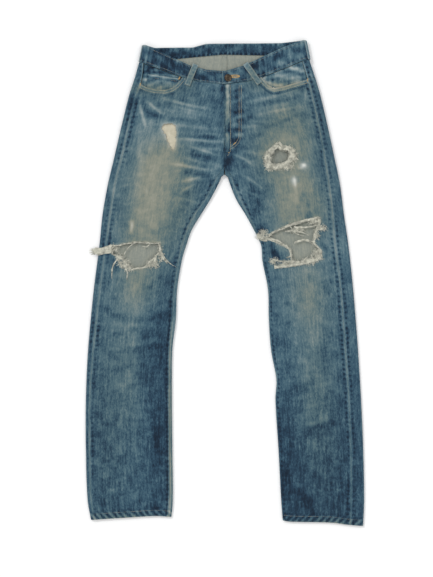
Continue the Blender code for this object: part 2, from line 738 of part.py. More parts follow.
def band_point(branch, at, up):
    """Outer skin of the waistband.  branch is front_right, fold_right, back, fold_left or
    front_left, at is a place across the bottom edge or a share of a fold's turn, and up is 0 at
    the bottom edge and 1 at the top edge."""
    radius = straight(FOLD_RADIUS, 520)
    lift = straight(SEAT_LIFT, 520)
    right_start, left_start = band_fold_start("right", up)[0], band_fold_start("left", up)[0]
    if branch.startswith("fold"):
        start, outward = band_fold_start(branch[5:], up)
        turn = math.pi * at
        front_y = band_level(BAND_FRONT_BOTTOM, BAND_FRONT_TOP, start, up)
        back_y = band_level(BAND_BACK_BOTTOM, BAND_BACK_TOP, start, up)
        y = front_y + (back_y - front_y) * at
        return Vector((start + outward * radius * math.sin(turn), y, lift + radius * (1 + math.cos(turn))))
    share = (at - band_fold_start("right", 0)[0]) / (
        band_fold_start("left", 0)[0] - band_fold_start("right", 0)[0]
    )
    x = right_start + share * (left_start - right_start)
    if branch == "back":
        y = band_level(BAND_BACK_BOTTOM, BAND_BACK_TOP, x, up)
        reach = max(0.0, 1 - (x / BACK_BAND_RAISE_REACH) ** 2)
        return Vector((x, y, lift + BACK_BAND_RAISE * reach**2 * up**2))
    if branch == "front_right":
        leg, overlap = RIGHT, -BAND_UNDERLAP_DROP * (1 - smoothstep((-x - 8) / 45))
    else:
        leg, overlap = LEFT, BAND_OVERLAP_RISE * (1 - smoothstep((x - 30) / 45))
    y = band_level(BAND_FRONT_BOTTOM, BAND_FRONT_TOP, x, up)
    bottom = leg.upper(x, straight(BAND_FRONT_BOTTOM, x), False)
    inside = smoothstep(min(x - right_start, left_start - x) / 120)
    return Vector((x, y, bottom - FRONT_BAND_DIP * inside * up**2 + overlap))


def band_path():
    """Places along the waistband, over the same columns as the panels below it, so that the two
    edges of the seam run side by side."""
    top = len(LEG_ROWS) + len(SEAT_STEPS) - 1
    right = [front_point(RIGHT, c, top).x for c in range(FRONT_COLUMNS + 1)]
    left = [front_point(LEFT, c, top).x for c in range(FRONT_COLUMNS + 1)]
    right_strip = [back_point(RIGHT, c, top).x for c in range(1, STRIP_STEPS)]
    left_strip = [back_point(LEFT, c, top).x for c in range(1, STRIP_STEPS)]
    floor = range(STRIP_STEPS + ARC_STEPS + 1, INNER_FROM)
    right_floor = [back_point(RIGHT, c, top).x for c in floor]
    left_floor = [back_point(LEFT, c, top).x for c in floor]
    folds = [k / ARC_STEPS for k in range(ARC_STEPS + 1)]
    path = [("front_right", x) for x in (BAND_RIGHT_END, 18.0, *reversed(right), *right_strip)]
    path += [("fold_right", f) for f in folds]
    path += [("back", x) for x in (*right_floor, CENTRE_X, *reversed(left_floor))]
    path += [("fold_left", f) for f in reversed(folds)]
    path += [("front_left", x) for x in (*reversed(left_strip), *left, BAND_LEFT_END)]
    return path


def build_waistband(home, denim):
    """One strip, laid double, whose left end buttons over the right one."""
    path = band_path()
    ups = (0.0, 0.25, 0.5, 0.75, 1.0)
    return sheet(
        "waistband", len(path), len(ups), lambda i, j: band_point(path[i][0], path[i][1], ups[j]),
        denim, home, BAND_CLOTH, flip=True,
    )


def build_back_pockets(home, denim):
    for side, mirror in (("right", 1), ("left", -1)):
        bm = bmesh.new()
        corners = [bm.verts.new((mirror * x * MM, y * MM, 0)) for x, y in BACK_POCKET]
        face = bm.faces.new(corners)
        bmesh.ops.recalc_face_normals(bm, faces=[face])
        up = bmesh.ops.extrude_face_region(bm, geom=[face])["geom"]
        bmesh.ops.translate(
            bm, verts=[v for v in up if isinstance(v, bmesh.types.BMVert)], vec=(0, 0, POCKET_CLOTH * MM),
        )
        bmesh.ops.recalc_face_normals(bm, faces=bm.faces[:])
        add_object(f"back_pocket_{side}", bm, denim, home)


def build_front_pockets(front_trees, home, denim, worn, cotton):
    """Facings that show in the pocket mouths, the coin pocket, and the bag that shows through
    the worn place on the right thigh."""
    columns, rows = 9, 8

    def facing_point(leg, inner_x, tree, sink, i, j):
        x = leg.outseam(430)
        top = straight(BAND_FRONT_BOTTOM, x) - FACING_TOP_GAP
        for _ in range(3):
            y = FACING_BOTTOM + (top - FACING_BOTTOM) * j / (rows - 1)
            edge = leg.outseam(y) + leg.toward * SEAM_GAP
            x = edge + (inner_x - edge) * i / (columns - 1)
            top = straight(BAND_FRONT_BOTTOM, x) - FACING_TOP_GAP
        y = FACING_BOTTOM + (top - FACING_BOTTOM) * j / (rows - 1)
        return Vector((x, y, inner_skin_near(tree, x, y, leg.toward) - sink))

    facings = {}
    for side, leg, inner_x, sink in (
        ("right", RIGHT, RIGHT_FACING_INNER, RIGHT_FACING_SINK),
        ("left", LEFT, LEFT_FACING_INNER, LEFT_FACING_SINK),
    ):
        facings[side] = sheet(
            f"pocket_facing_{side}", columns, rows,
            lambda i, j: facing_point(leg, inner_x, front_trees[side], sink, i, j),
            denim, home, POCKET_CLOTH, flip=leg is LEFT,
        )
    facing_tree = tree_of(facings["right"])

    def coin_point(i, j):
        across, up = i / 5, j / 5
        low = Vector(COIN_BOTTOM_LEFT).lerp(Vector(COIN_BOTTOM_RIGHT), across)
        high = Vector(COIN_TOP_LEFT).lerp(Vector(COIN_TOP_RIGHT), across)
        spot = low.lerp(high, up)
        spot.y -= COIN_TIP_DROP * (1 - abs(2 * across - 1)) * (1 - up)
        level = height_over(facing_tree, spot.x, spot.y)
        return Vector((spot.x, spot.y, level + SEAM_GAP))

    sheet("coin_pocket", 6, 6, coin_point, worn, home, POCKET_CLOTH, outward=True)

    def bag_point(i, j):
        x = BAG_OUTER + (BAG_INNER - BAG_OUTER) * i / 6
        y = BAG_BOTTOM + (BAG_TOP - BAG_BOTTOM) * j / 8
        x += 18 * (1 - smoothstep(j / 3)) * (1 - i / 3)
        x = max(x, RIGHT.outseam(y) + 2)
        under_front = inner_skin_near(front_trees["right"], x, y, 1) - BAG_GAP
        sink = (RIGHT_FACING_SINK + POCKET_CLOTH + SEAM_GAP) * smoothstep((y - 350) / 26)
        return Vector((x, y, under_front - sink))

    sheet("pocket_bag_right", 7, 9, bag_point, cotton, home, BAG_CLOTH)


def build_fly_edge(left_tree, home, worn):
    """The folded edge of the fly, worn pale, as a narrow strip on the left front."""
    rows = 12
    top = straight(BAND_FRONT_BOTTOM, FLY_EDGE[0]) - 2 * SEAM_GAP - 0.4

    def place(i, j):
        x = FLY_EDGE[0] + (FLY_EDGE[1] - FLY_EDGE[0]) * i
        y = FLY_EDGE_BOTTOM + (top - FLY_EDGE_BOTTOM) * j / (rows - 1)
        return Vector((x, y, height_over(left_tree, x, y) + SEAM_GAP))

    sheet("fly_edge", 2, rows, place, worn, home, POCKET_CLOTH, outward=True)


def build_belt_loops(band, fronts, home, worn):
    """Two loops in front, one on each side fold and one at the back."""
    trees = tree_of(band, fronts["right"], fronts["left"])
    rows = 9
    for side, (top, bottom) in (("right", RIGHT_LOOP), ("left", LEFT_LOOP)):
        across = Vector((top[1] - bottom[1], bottom[0] - top[0])).normalized() * LOOP_WIDTH / 2

        def place(i, j):
            share = j / (rows - 1)
            middle = Vector(bottom).lerp(Vector(top), share)
            spot = middle + across * (i - 1)
            near = [
                height_over(trees, spot.x + ex, spot.y + ey) for ex in (-3, 0, 3) for ey in (-10, -4, 0, 4)
            ]
            return Vector((spot.x, spot.y, max(n for n in near if n is not None) + REST_GAP))

        sheet(f"belt_loop_front_{side}", 3, rows, place, worn, home, LOOP_CLOTH, outward=True)
    for name, branch, first, last in (
        ("belt_loop_side_right", "fold_right", 0.32, 0.98), ("belt_loop_side_left", "fold_left", 0.10, 0.76),
    ):
        sheet(
            name, 6, 6, lambda i, j: off_band(branch, first + (last - first) * i / 5, 0.03 + 0.94 * j / 5),
            worn, home, LOOP_CLOTH, outward=True, flip=branch == "fold_right",
        )
    sheet(
        "belt_loop_back", 3, 6,
        lambda i, j: off_band("back", CENTRE_X + (i - 1) * LOOP_WIDTH / 2, 0.03 + 0.94 * j / 5),
        worn, home, LOOP_CLOTH, outward=True, flip=True,
    )


def off_band(branch, at, up):
    """A point of the waistband's skin, moved out by the gap that cloth on cloth keeps."""
    step = 0.01
    here = band_point(branch, at, up)
    along_band = band_point(branch, at + step, up) - band_point(branch, at - step, up)
    across_band = band_point(branch, at, up + step) - band_point(branch, at, up - step)
    normal = along_band.cross(across_band).normalized()
    outward = Vector((0, 0, -1))
    if branch.startswith("fold"):
        outward = Vector((band_fold_start(branch[5:], up)[1], 0, math.cos(math.pi * at)))
    if normal.dot(outward) < 0:
        normal = -normal
    return here + normal * REST_GAP


def build_button(band, home, metal):
    """The metal button at the waist, lying on the left end of the waistband."""
    trees = tree_of(band)
    x, y = BUTTON_AT
    rim = [
        Vector((x + BUTTON_RADIUS * math.cos(a), y + BUTTON_RADIUS * math.sin(a)))
        for a in (math.pi * k / 4 for k in range(8))
    ]
    levels = [height_over(trees, p.x, p.y) for p in rim]
    slope = (levels[2] - levels[6]) / (2 * BUTTON_RADIUS)
    level = max(max(levels), height_over(trees, x, y)) + REST_GAP / 2
    bm = bmesh.new()
    bmesh.ops.create_cone(
        bm, cap_ends=True, segments=20, radius1=BUTTON_RADIUS * MM, radius2=BUTTON_RADIUS * MM,
        depth=BUTTON_HEIGHT * MM,
    )
    rims = [e for e in bm.edges if abs(e.verts[0].co.z - e.verts[1].co.z) < 1e-6 and e.verts[0].co.z > 0]
    bmesh.ops.bevel(bm, geom=rims, offset=0.9 * MM, segments=2, profile=0.5, affect="EDGES", material=-1)
    button = add_object("waist_button", bm, metal, home)
    button.location = (x * MM, y * MM, (level + BUTTON_HEIGHT / 2) * MM)
    button.rotation_euler = (math.atan(slope), 0, 0)
    return button


def main():
    for old in list(bpy.data.objects):
        bpy.data.objects.remove(old)
    home, spare = collection("ripped_jeans"), collection("cutters_and_strands")
    denim = material("denim", DENIM_BLUE)
    dark = material("denim_dark", DENIM_DARK)
    worn = material("denim_worn", DENIM_WORN)
    cotton = material("cotton", COTTON)
    yarn = material("yarn", COTTON, 1.0)
    metal = material("dull_metal", DULL_METAL, 0.5, 1.0)

    fronts = build_panels(home, denim)
    band = build_waistband(home, dark)
    front_trees = {side: tree_of(front) for side, front in fronts.items()}
    both = front_trees["right"] + front_trees["left"]
    build_front_pockets(front_trees, home, denim, worn, cotton)
    build_fly_edge(front_trees["left"], home, worn)
    build_belt_loops(band, fronts, home, worn)
    build_button(band, home, metal)
    build_back_pockets(home, denim)

    legs = both + tree_of(bpy.data.objects["back_right"], bpy.data.objects["back_left"])
    frayed_edge("fray_knee_right", RIGHT_KNEE_RIP, RIGHT_KNEE_STRANDS, legs, yarn, home, spare)
    frayed_edge("fray_thigh_left", LEFT_THIGH_RIP, LEFT_THIGH_STRANDS, legs, yarn, home, spare)
    frayed_edge("fray_knee_left", LEFT_KNEE_RIP, LEFT_KNEE_STRANDS, legs, yarn, home, spare)

    cut(fronts["right"], "right_mouth", RIGHT_MOUTH, spare)
    cut(fronts["right"], "right_knee_rip", RIGHT_KNEE_RIP, spare)
    cut(fronts["right"], "right_thigh_worn", RIGHT_THIGH_WORN, spare)
    cut(fronts["left"], "left_mouth", LEFT_MOUTH, spare)
    cut(fronts["left"], "left_knee_rip", LEFT_KNEE_RIP, spare)
    cut(fronts["left"], "left_thigh_rip", LEFT_THIGH_RIP, spare)


main()
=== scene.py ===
import math
import random
from collections import namedtuple

import bmesh
import bpy
import numpy as np
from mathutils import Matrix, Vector


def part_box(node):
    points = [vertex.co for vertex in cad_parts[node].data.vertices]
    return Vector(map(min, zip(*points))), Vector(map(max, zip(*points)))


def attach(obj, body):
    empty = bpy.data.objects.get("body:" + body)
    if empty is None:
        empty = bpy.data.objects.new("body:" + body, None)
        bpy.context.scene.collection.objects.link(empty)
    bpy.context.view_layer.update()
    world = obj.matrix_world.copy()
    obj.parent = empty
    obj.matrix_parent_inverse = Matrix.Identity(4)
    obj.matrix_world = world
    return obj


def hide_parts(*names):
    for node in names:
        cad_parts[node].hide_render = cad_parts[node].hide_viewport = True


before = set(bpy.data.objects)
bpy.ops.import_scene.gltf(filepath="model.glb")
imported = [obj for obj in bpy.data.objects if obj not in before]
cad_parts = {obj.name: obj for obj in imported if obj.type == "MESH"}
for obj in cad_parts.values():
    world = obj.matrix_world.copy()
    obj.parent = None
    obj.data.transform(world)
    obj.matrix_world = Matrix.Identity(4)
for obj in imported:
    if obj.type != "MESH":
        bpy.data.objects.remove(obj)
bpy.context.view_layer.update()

# The legs' cloth
# Twill denim, indigo warp over an undyed weft, washed and worn pale on the thighs.  Each leg is a
# front and a back panel sewn at the outseam and the inseam, pressed flat by its own weight.  The
# tables give the outline of the flat leg, seen from above, in millimetres.

Spot = namedtuple("Spot", "at value")
Edge = namedtuple("Edge", "level outer outseam")
Inner = namedtuple("Inner", "level inseam inner")
Crease = namedtuple("Crease", "x0 y0 x1 y1 width height wear")
Patch = namedtuple("Patch", "x y across along amount")

MM = 0.001
CENTRE_X = -1.0
NOTCH_LEVEL = 248.0
HEM_LEVEL = -540.0
LAST_LEG_LEVEL = 242.0
HEM_SHIFT_FROM = -380.0
DENIM = 1.2
SEAM_GAP = 0.3
BAND_SEAM_GAP = 0.6
FOLD_SEAM_GAP = 1.1
YOKE_STEP = 0.84
YOKE_POINT = 16.0
FLY_OVERLAP, FLY_RISE, FLY_TOP = 12.0, 1.5, 453
GRID = 2.6
SETTLING_ROUNDS = 4

RIGHT_EDGE = [Edge(*row) for row in (
    (505, -195, -185), (463, -207, -190), (429, -218, -202), (361, -235, -219), (292, -251, -234),
    (224, -267, -251), (156, -279, -262), (87, -286, -271), (-15, -299, -285), (-152, -312, -300),
    (-266, -317, -308), (-380, -317, -308), (-494, -313, -305), (-540, -305, -297),
)]
RIGHT_INNER = [Inner(*row) for row in (
    (242, -19, -8), (224, -27, -16), (190, -46, -34), (156, -70, -55), (121, -87, -76),
    (87, -98, -88), (53, -106, -98), (-15, -116, -109), (-84, -120, -112), (-152, -126, -120),
    (-266, -127, -121), (-380, -126, -120), (-494, -126, -119), (-540, -130, -123),
)]
LEFT_EDGE = [Edge(*row) for row in (
    (505, 193, 176), (463, 207, 188), (429, 217, 198), (361, 233, 213), (292, 248, 226),
    (224, 262, 237), (156, 271, 245), (87, 281, 251), (-15, 292, 264), (-152, 303, 274),
    (-266, 310, 282), (-380, 315, 287), (-494, 317, 287), (-545, 315, 286),
)]
LEFT_INNER = [Inner(*row) for row in (
    (242, 16, 6), (224, 21, 12), (190, 36, 26), (156, 53, 47), (121, 69, 66), (87, 82, 82),
    (53, 85, 85), (-15, 98, 98), (-84, 100, 100), (-152, 105, 105), (-220, 117, 117),
    (-266, 115, 115), (-380, 122, 122), (-494, 128, 128), (-545, 132, 132),
)]
BAND_FRONT_BOTTOM = [Spot(*row) for row in (
    (-195, 502), (-188, 502), (-100, 470), (-60, 459), (0, 453), (52, 460), (84, 469), (145, 493),
    (171, 504), (186, 508), (193, 508),
)]
BAND_BACK_BOTTOM = [Spot(*row) for row in (
    (-195, 502), (-188, 502), (-109, 511), (-7, 521), (89, 519), (186, 508), (193, 508),
)]
RIGHT_HEM = [Spot(*row) for row in ((-305, -539), (-228, -534), (-156, -530), (-125, -532))]
LEFT_HEM = [Spot(*row) for row in ((130, -540), (150, -543), (240, -545), (280, -550), (315, -553))]
SEAT_LIFT = [Spot(*row) for row in (
    (-600, 0), (185, 0), (255, 1.35), (460, 1.35), (495, 2.0), (600, 2.0),
)]
FOLD_RADIUS = [Spot(*row) for row in ((-600, 3.6), (150, 3.6), (400, 4.8), (500, 6.0), (600, 6.0))]
UPPER_LEVEL = [Spot(*row) for row in (
    (-600, 6.6), (150, 6.8), (260, 9.4), (450, 10.5), (600, 10.5),
)]
TONGUE = [Spot(*row) for row in ((0, 13.0), (0.085, 1.6), (0.095, 0.0), (1, 0.0))]
CROWN_REACH = 30.0
UNWORN_FADE = 0.33
FOLD_SHARE = [Spot(*row) for row in ((-600, 0), (-525, 1.0), (600, 1.0))]

# Folds and creases: a line, how wide it is, how high, and how much paler its crest has worn; where that
# last is negative the fold is a valley, darkened with painted shade
CREASES = [Crease(*row) for row in (
    (-180, 330, -192, 150, 34, 1.4, 0), (128, 330, 172, 140, 34, 1.4, 0),
    (64, 250, 72, 160, 11, -2.2, -0.1), (186, 175, 196, 120, 9, -1.6, -0.25),
    (-196, 404, -118, 378, 9, -1.5, -0.08), (-110, 352, -30, 340, 10, -1.2, -0.1),
    (-105, 318, -22, 300, 10, 1.4, 0.04), (60, 392, 150, 410, 12, 1.3, 0.04),
    (24, 330, 80, 312, 11, 1.5, 0.05), (-82, 208, -120, 140, 11, -1.3, -0.08),
    (-226, 210, -232, 130, 14, -1.2, -0.1), (100, 98, 124, 46, 9, -2.4, -0.35),
    (-212, 10, -206, -90, 16, 1.3, 0.06), (205, -60, 212, -180, 18, 1.4, 0.06),
    (184, -340, 240, -320, 9, -1.8, -0.16), (150, -250, 205, -225, 10, -1.4, -0.1),
    (166, -468, 201, -518, 10, -2.0, -0.2), (135, -410, 150, -470, 9, -1.4, -0.14),
    (-280, -350, -250, -420, 14, -1.3, -0.08), (-160, -300, -150, -400, 12, -1.4, -0.14),
    (-170, -508, -146, -518, 8, -1.6, -0.15), (-235, -440, -200, -490, 14, 1.2, 0.04),
    # whiskers and creases of the right hip
    (-197, 418, -180, 354, 3.2, 0.9, 0.34), (-178, 412, -139, 384, 3.0, 0.8, 0.3),
    (-146, 420, -30, 395, 3.6, 0.8, 0.26), (-120, 404, -52, 388, 3.0, 0.5, 0.18),
    (-110, 328, -5, 322, 3.4, 0.8, 0.26), (-81, 313, -17, 290, 3.0, 0.7, 0.26),
    (-122, 270, -29, 258, 3.6, 0.8, 0.3), (-192, 380, -17, 363, 5.5, -1.0, -0.14),
    (-160, 362, -20, 352, 4.0, 0.5, 0.14), (-100, 300, -20, 278, 5.0, -0.8, -0.14),
    (-190, 398, -150, 378, 6.0, -1.0, -0.16), (-120, 248, -60, 262, 6.0, -0.6, -0.08),
    (-96, 232, -52, 244, 2.6, 0.5, 0.22), (-104, 204, -70, 226, 2.6, 0.5, 0.2),
    (-112, 196, -60, 182, 3.0, 0.4, 0.14), (-150, 398, -40, 380, 3.6, 0.5, 0.12),
    (-60, 340, -4, 338, 3.4, 0.6, 0.16), (-100, 232, -20, 240, 3.6, 0.5, 0.14),
    (-60, 308, -8, 302, 3.0, 0.4, 0.12), (-96, 284, -16, 268, 4.0, 0.4, 0.1),
    (-190, 300, -160, 292, 5.0, -0.5, -0.1), (-100, 336, -16, 330, 5.0, -0.6, -0.12),
    (-90, 250, -30, 244, 5.0, -0.5, -0.1),
    # the left hip
    (56, 436, 150, 452, 3.6, 0.5, 0.1), (60, 400, 168, 424, 5.0, -0.7, -0.12),
    (50, 372, 90, 366, 4.0, 0.5, 0.12), (44, 300, 90, 292, 4.0, 0.5, 0.1),
    (88, 354, 178, 383, 5.0, -0.9, -0.16), (185, 450, 182, 402, 2.6, 0.6, 0.16),
    (50, 412, 160, 436, 4.0, 0.7, 0.16), (66, 380, 170, 404, 3.0, 0.6, 0.16),
    (112, 414, 128, 360, 2.8, 0.5, 0.07), (128, 418, 141, 372, 2.8, 0.5, 0.07),
    (20, 296, 66, 268, 3.2, 0.8, 0.24), (34, 352, 84, 360, 4.0, 0.6, 0.12),
    (150, 392, 172, 350, 3.6, 0.4, 0.05), (60, 330, 92, 344, 5.0, -0.8, -0.14),
    (40, 246, 84, 218, 3.0, 0.6, 0.2), (44, 214, 78, 196, 3.0, 0.5, 0.14),
    # puckers beside the fly
    (12, 410, 44, 424, 4.5, 1.1, 0.22), (12, 392, 40, 388, 4.0, -1.0, -0.22),
    (14, 372, 46, 380, 4.5, 1.0, 0.2), (14, 352, 42, 346, 4.0, -1.0, -0.24),
    (16, 334, 44, 340, 4.0, 0.9, 0.2), (12, 320, 36, 330, 4.0, -0.8, -0.2),
    (14, 436, 50, 440, 4.0, -0.7, -0.16),
    # the knees and below
    (-258, 60, -240, 20, 6.0, -1.0, -0.1), (-140, 40, -116, 70, 4.0, 0.8, 0.14),
    (-180, -14, -130, 20, 7.0, -0.9, -0.1), (-272, -72, -180, -86, 9.0, -0.8, -0.12),
    (-180, -88, -128, -66, 8.0, -1.1, -0.16), (-256, -94, -132, -96, 7.0, 0.7, 0.08),
    (-206, -150, -126, -146, 8.0, -1.0, -0.14), (-214, -138, -150, -128, 6.0, 0.6, 0.08),
    (-270, -196, -206, -188, 8.0, -0.6, -0.08), (-292, -300, -262, -330, 8.0, -0.8, -0.1),
    (110, -130, 150, -146, 8.0, -1.0, -0.12), (118, -178, 148, -160, 7.0, 0.7, 0.08),
    (178, -150, 186, -230, 7.0, 0.8, 0.1), (226, -120, 220, -200, 8.0, -0.9, -0.12),
    (190, -320, 246, -300, 6.0, 0.8, 0.1), (176, -470, 150, -430, 8.0, 0.8, 0.1),
    (196, -505, 214, -530, 5.0, 0.8, 0.1), (134, -472, 142, -420, 6.0, -0.8, -0.12),
    (-296, -480, -270, -512, 7.0, -0.7, -0.1), (-166, -524, -136, -508, 4.0, 0.8, 0.2),
    (-200, -516, -176, -498, 5.0, 0.6, 0.1), (220, 96, 236, 60, 8.0, -0.9, -0.14),
    (152, 240, 170, 172, 8.0, 0.7, 0.08), (178, 214, 166, 150, 6.0, -0.7, -0.12),
)]

# Where the indigo has worn away, and where it has stayed, with two dark patches of painted shade marked
# below
PATCHES = [Patch(*row) for row in (
    (-168, 190, 58, 130, 0.46), (-190, 330, 30, 80, 0.20), (-195, 0, 44, 75, 0.26),
    (-215, -190, 38, 170, 0.13), (-132, 335, 24, 42, 0.20), (-150, 270, 52, 50, 0.14),
    (160, 205, 54, 125, 0.38), (128, 300, 44, 50, 0.22), (190, -30, 46, 95, 0.30),
    (196, -240, 40, 150, 0.14), (132, 395, 60, 50, 0.08), (110, 300, 30, 34, 0.14),
    (24, 375, 24, 75, -0.18), (-60, 340, 60, 110, -0.06), (-40, 240, 26, 60, -0.10),
    (-146, -330, 34, 190, -0.17), (-296, -250, 16, 320, -0.08), (138, -380, 34, 200, -0.22),
    (226, 20, 26, 150, -0.10), (-126, 60, 26, 120, -0.16), (76, 190, 24, 70, -0.14),
    (215, -520, 120, 46, -0.12), (-215, -515, 110, 40, -0.08), (266, 0, 14, 620, -0.05),
    (30, 280, 26, 40, -0.14), (218, 300, 16, 120, -0.16), (-262, 190, 12, 160, -0.12),
    (-215, -420, 150, 230, -0.13), (225, -430, 150, 230, -0.17), (50, 230, 30, 70, 0.12),
    (-165, 160, 62, 110, 0.14), (160, 160, 60, 100, 0.12), (-180, -40, 60, 60, 0.08),
    (20.5, 361, 5, 9, 0.5), (36, 366, 8, 8, -0.28), (27, 420, 9, 6, -0.3), (34, 394, 8, 7, -0.24),
    (30, 371, 14, 5, -0.2), (16, 332, 7, 14, -0.36), (-150, -130, 36, 150, -0.24),
    (-262, 140, 12, 60, 0.16), (-205, 412, 20, 14, -0.36), (-75, 365, 35, 25, 0.2),
    (8, 275, 10, 26, -0.4), (34, 408, 8, 7, -0.3), (245, 82, 40, 40, 0.2), (230, 190, 26, 60, 0.1),
    (265, -430, 60, 120, -0.12), (170, -450, 24, 80, -0.15), (-268, 85, 14, 30, -0.14),
    (-115, 290, 40, 60, 0.16), (-212, 310, 15, 80, -0.18), (-185, -20, 30, 40, -0.1),
    (60, 200, 16, 34, -0.12), (150, 330, 50, 50, 0.1), (-140, -460, 30, 120, -0.1),
    (-20, 255, 22, 30, 0.14), (-185, -202, 12, 26, -0.3), (-180, -118, 16, 26, -0.22),
    # (82, 120, ...) is painted shade at the inseam beside the left knee's tear
    (118, -214, 8, 24, 0.4), (82, 120, 10, 12, -0.4), (196, 472, 9, 10, 0.4), (-20, 409, 12, 10, -0.22),
    (34, 409, 7, 7, -0.2), (61, 377, 9, 9, -0.22), (-212, 390, 8, 26, -0.25), (306, -215, 7, 28, -0.22),
    (253, -294, 12, 12, -0.22), (198, -517, 12, 8, -0.2), (250, -549, 34, 5, 0.35),
    (110, 409, 34, 12, 0.13), (-105, 377, 60, 10, 0.14), (-75, 345, 14, 9, 0.15),
    (-103, 249, 12, 8, 0.2), (6, 249, 9, 8, 0.25), (-261, 215, 8, 16, 0.22), (-239, 121, 12, 10, 0.2),
    (-239, 25, 12, 10, 0.15), (226, 25, 34, 12, 0.14), (268, 82, 14, 22, 0.15),
    # (-5, 444, ...) is a painted shadow beside the edge of the lapped fly
    (-128, -240, 7, 190, -0.2), (-237, 345, 7, 14, 0.22), (-5, 444, 5, 13, -0.5), (-5, 326, 5, 8, 0.3),
    (4, 274, 9, 16, -0.42),
)]
# Small places worn through to the white weft
WORN_DOTS = [Patch(*row) for row in (
    (179, 269, 6, 4.5, 1.05), (158, 235, 5, 7, 0.8), (-212, 132, 5, 9, 0.9), (174, 262, 8, 4, 0.5),
    (-214, 120, 4, 7, 0.5), (160, 224, 4, 8, 0.5),
)]

# Where the bared weft has yellowed, which gives the pale thighs a khaki tone
STAINS = [Patch(*row) for row in (
    (-171, 180, 74, 140, 1.0), (158, 205, 70, 140, 1.0), (-195, 0, 52, 60, 0.7),
    (-215, -190, 34, 170, 0.4), (190, -30, 46, 80, 0.7), (196, -240, 36, 150, 0.35),
    (135, 330, 70, 60, 0.7), (-140, 280, 50, 50, 0.5), (-165, 443, 62, 12, 0.9), (130, 449, 66, 14, 0.9),
    (5, 375, 6, 90, 0.8), (-76, 474, 14, 26, 0.8), (63, 477, 16, 26, 0.8), (-124, -330, 8, 240, 0.9),
    (178, 268, 11, 10, -0.8), (157, 234, 10, 12, -0.9), (108, 285, 44, 52, 0.7),
    (-106, 215, 46, 110, 0.8), (-195, 110, 46, 46, 0.5), (150, 390, 66, 50, 0.5),
    (185, 165, 56, 56, 0.6), (-130, 425, 80, 30, 0.4), (225, -548, 110, 12, 0.9),
    (-215, -534, 100, 10, 0.9), (226, -330, 44, 260, 0.45), (-270, -300, 46, 260, 0.45),
)]

RIGHT_KNEE_RIP = (
    (-259, 86), (-242, 86), (-222, 91), (-205, 93), (-186, 93), (-166, 90), (-150, 92), (-146, 72),
    (-157, 63), (-170, 50), (-180, 38), (-196, 34), (-212, 31), (-222, 40), (-233, 54), (-243, 60),
    (-257, 66),
)
RIGHT_THIGH_WORN = (
    (-145, 352), (-139, 361), (-122, 364), (-113, 358), (-111, 344), (-112, 322), (-114, 306),
    (-120, 303), (-127, 316), (-133, 328), (-136, 338),
)
LEFT_THIGH_RIP = (
    (101, 293), (108, 302), (120, 309), (128, 304), (138, 305), (146, 303), (149, 285),
    (142, 277), (129, 270), (115, 270), (103, 271), (98, 281),
)
LEFT_KNEE_RIP = (
    (95, 101), (107, 114), (130, 124), (146, 131), (181, 140), (210, 150), (216, 139), (206, 122),
    (201, 92), (217, 76), (219, 60), (198, 53), (172, 48), (152, 49), (151, 68), (149, 78),
    (139, 84), (116, 94), (101, 99),
)
RIGHT_MOUTH = (
    (-230, 520), (-230, 455), (-192, 453), (-178, 446), (-157, 441), (-136, 440), (-121, 445),
    (-110, 453), (-102, 463), (-97, 470), (-90, 520),
)
LEFT_MOUTH = (
    (74, 520), (83, 469), (90, 460), (99, 451), (112, 444), (129, 447), (157, 455), (178, 461),
    (188, 464), (230, 466), (230, 520),
)


def between(first, last, share):
    """Places on the way from one place to another."""
    return first[0] + (last[0] - first[0]) * share, first[1] + (last[1] - first[1]) * share


def smoothstep(x):
    x = np.clip(x, 0.0, 1.0)
    return x * x * (3 - 2 * x)


def bell(x, middle, width):
    """A soft bump of height 1 round a middle."""
    return np.exp(-(((x - middle) / width) ** 2))


def along(table, at, column=1):
    """A smooth curve through a table's rows, read at many places along it."""
    rows = np.array(sorted(table), float)
    keys, values = rows[:, 0], rows[:, column]
    slopes = np.gradient(values, keys)
    slopes[1:-1] = (values[2:] - values[:-2]) / (keys[2:] - keys[:-2])
    at = np.clip(at, keys[0], keys[-1])
    k = np.clip(np.searchsorted(keys, at, side="right") - 1, 0, len(keys) - 2)
    step = keys[k + 1] - keys[k]
    t = (at - keys[k]) / step
    return (
        (2 * t**3 - 3 * t**2 + 1) * values[k] + (t**3 - 2 * t**2 + t) * slopes[k] * step
        + (3 * t**2 - 2 * t**3) * values[k + 1] + (t**3 - t**2) * slopes[k + 1] * step
    )


def straight(table, at):
    rows = np.array(sorted(table), float)
    return np.interp(at, rows[:, 0], rows[:, 1])


LUMP_WAVES = 7


def lumps(x, y, size, seed):
    """A soft irregular pattern between -1 and 1, with lumps of about that size."""
    draw = np.random.default_rng(seed)
    total = 0.0
    for _ in range(LUMP_WAVES):
        angle, phase = draw.uniform(0, math.pi), draw.uniform(0, 2 * math.pi)
        stretch = draw.uniform(0.7, 1.5)
        reach = x * math.cos(angle) + y * math.sin(angle)
        total = total + np.sin(reach * 2 * math.pi / (size * stretch) + phase)
    return total / (LUMP_WAVES / 2)


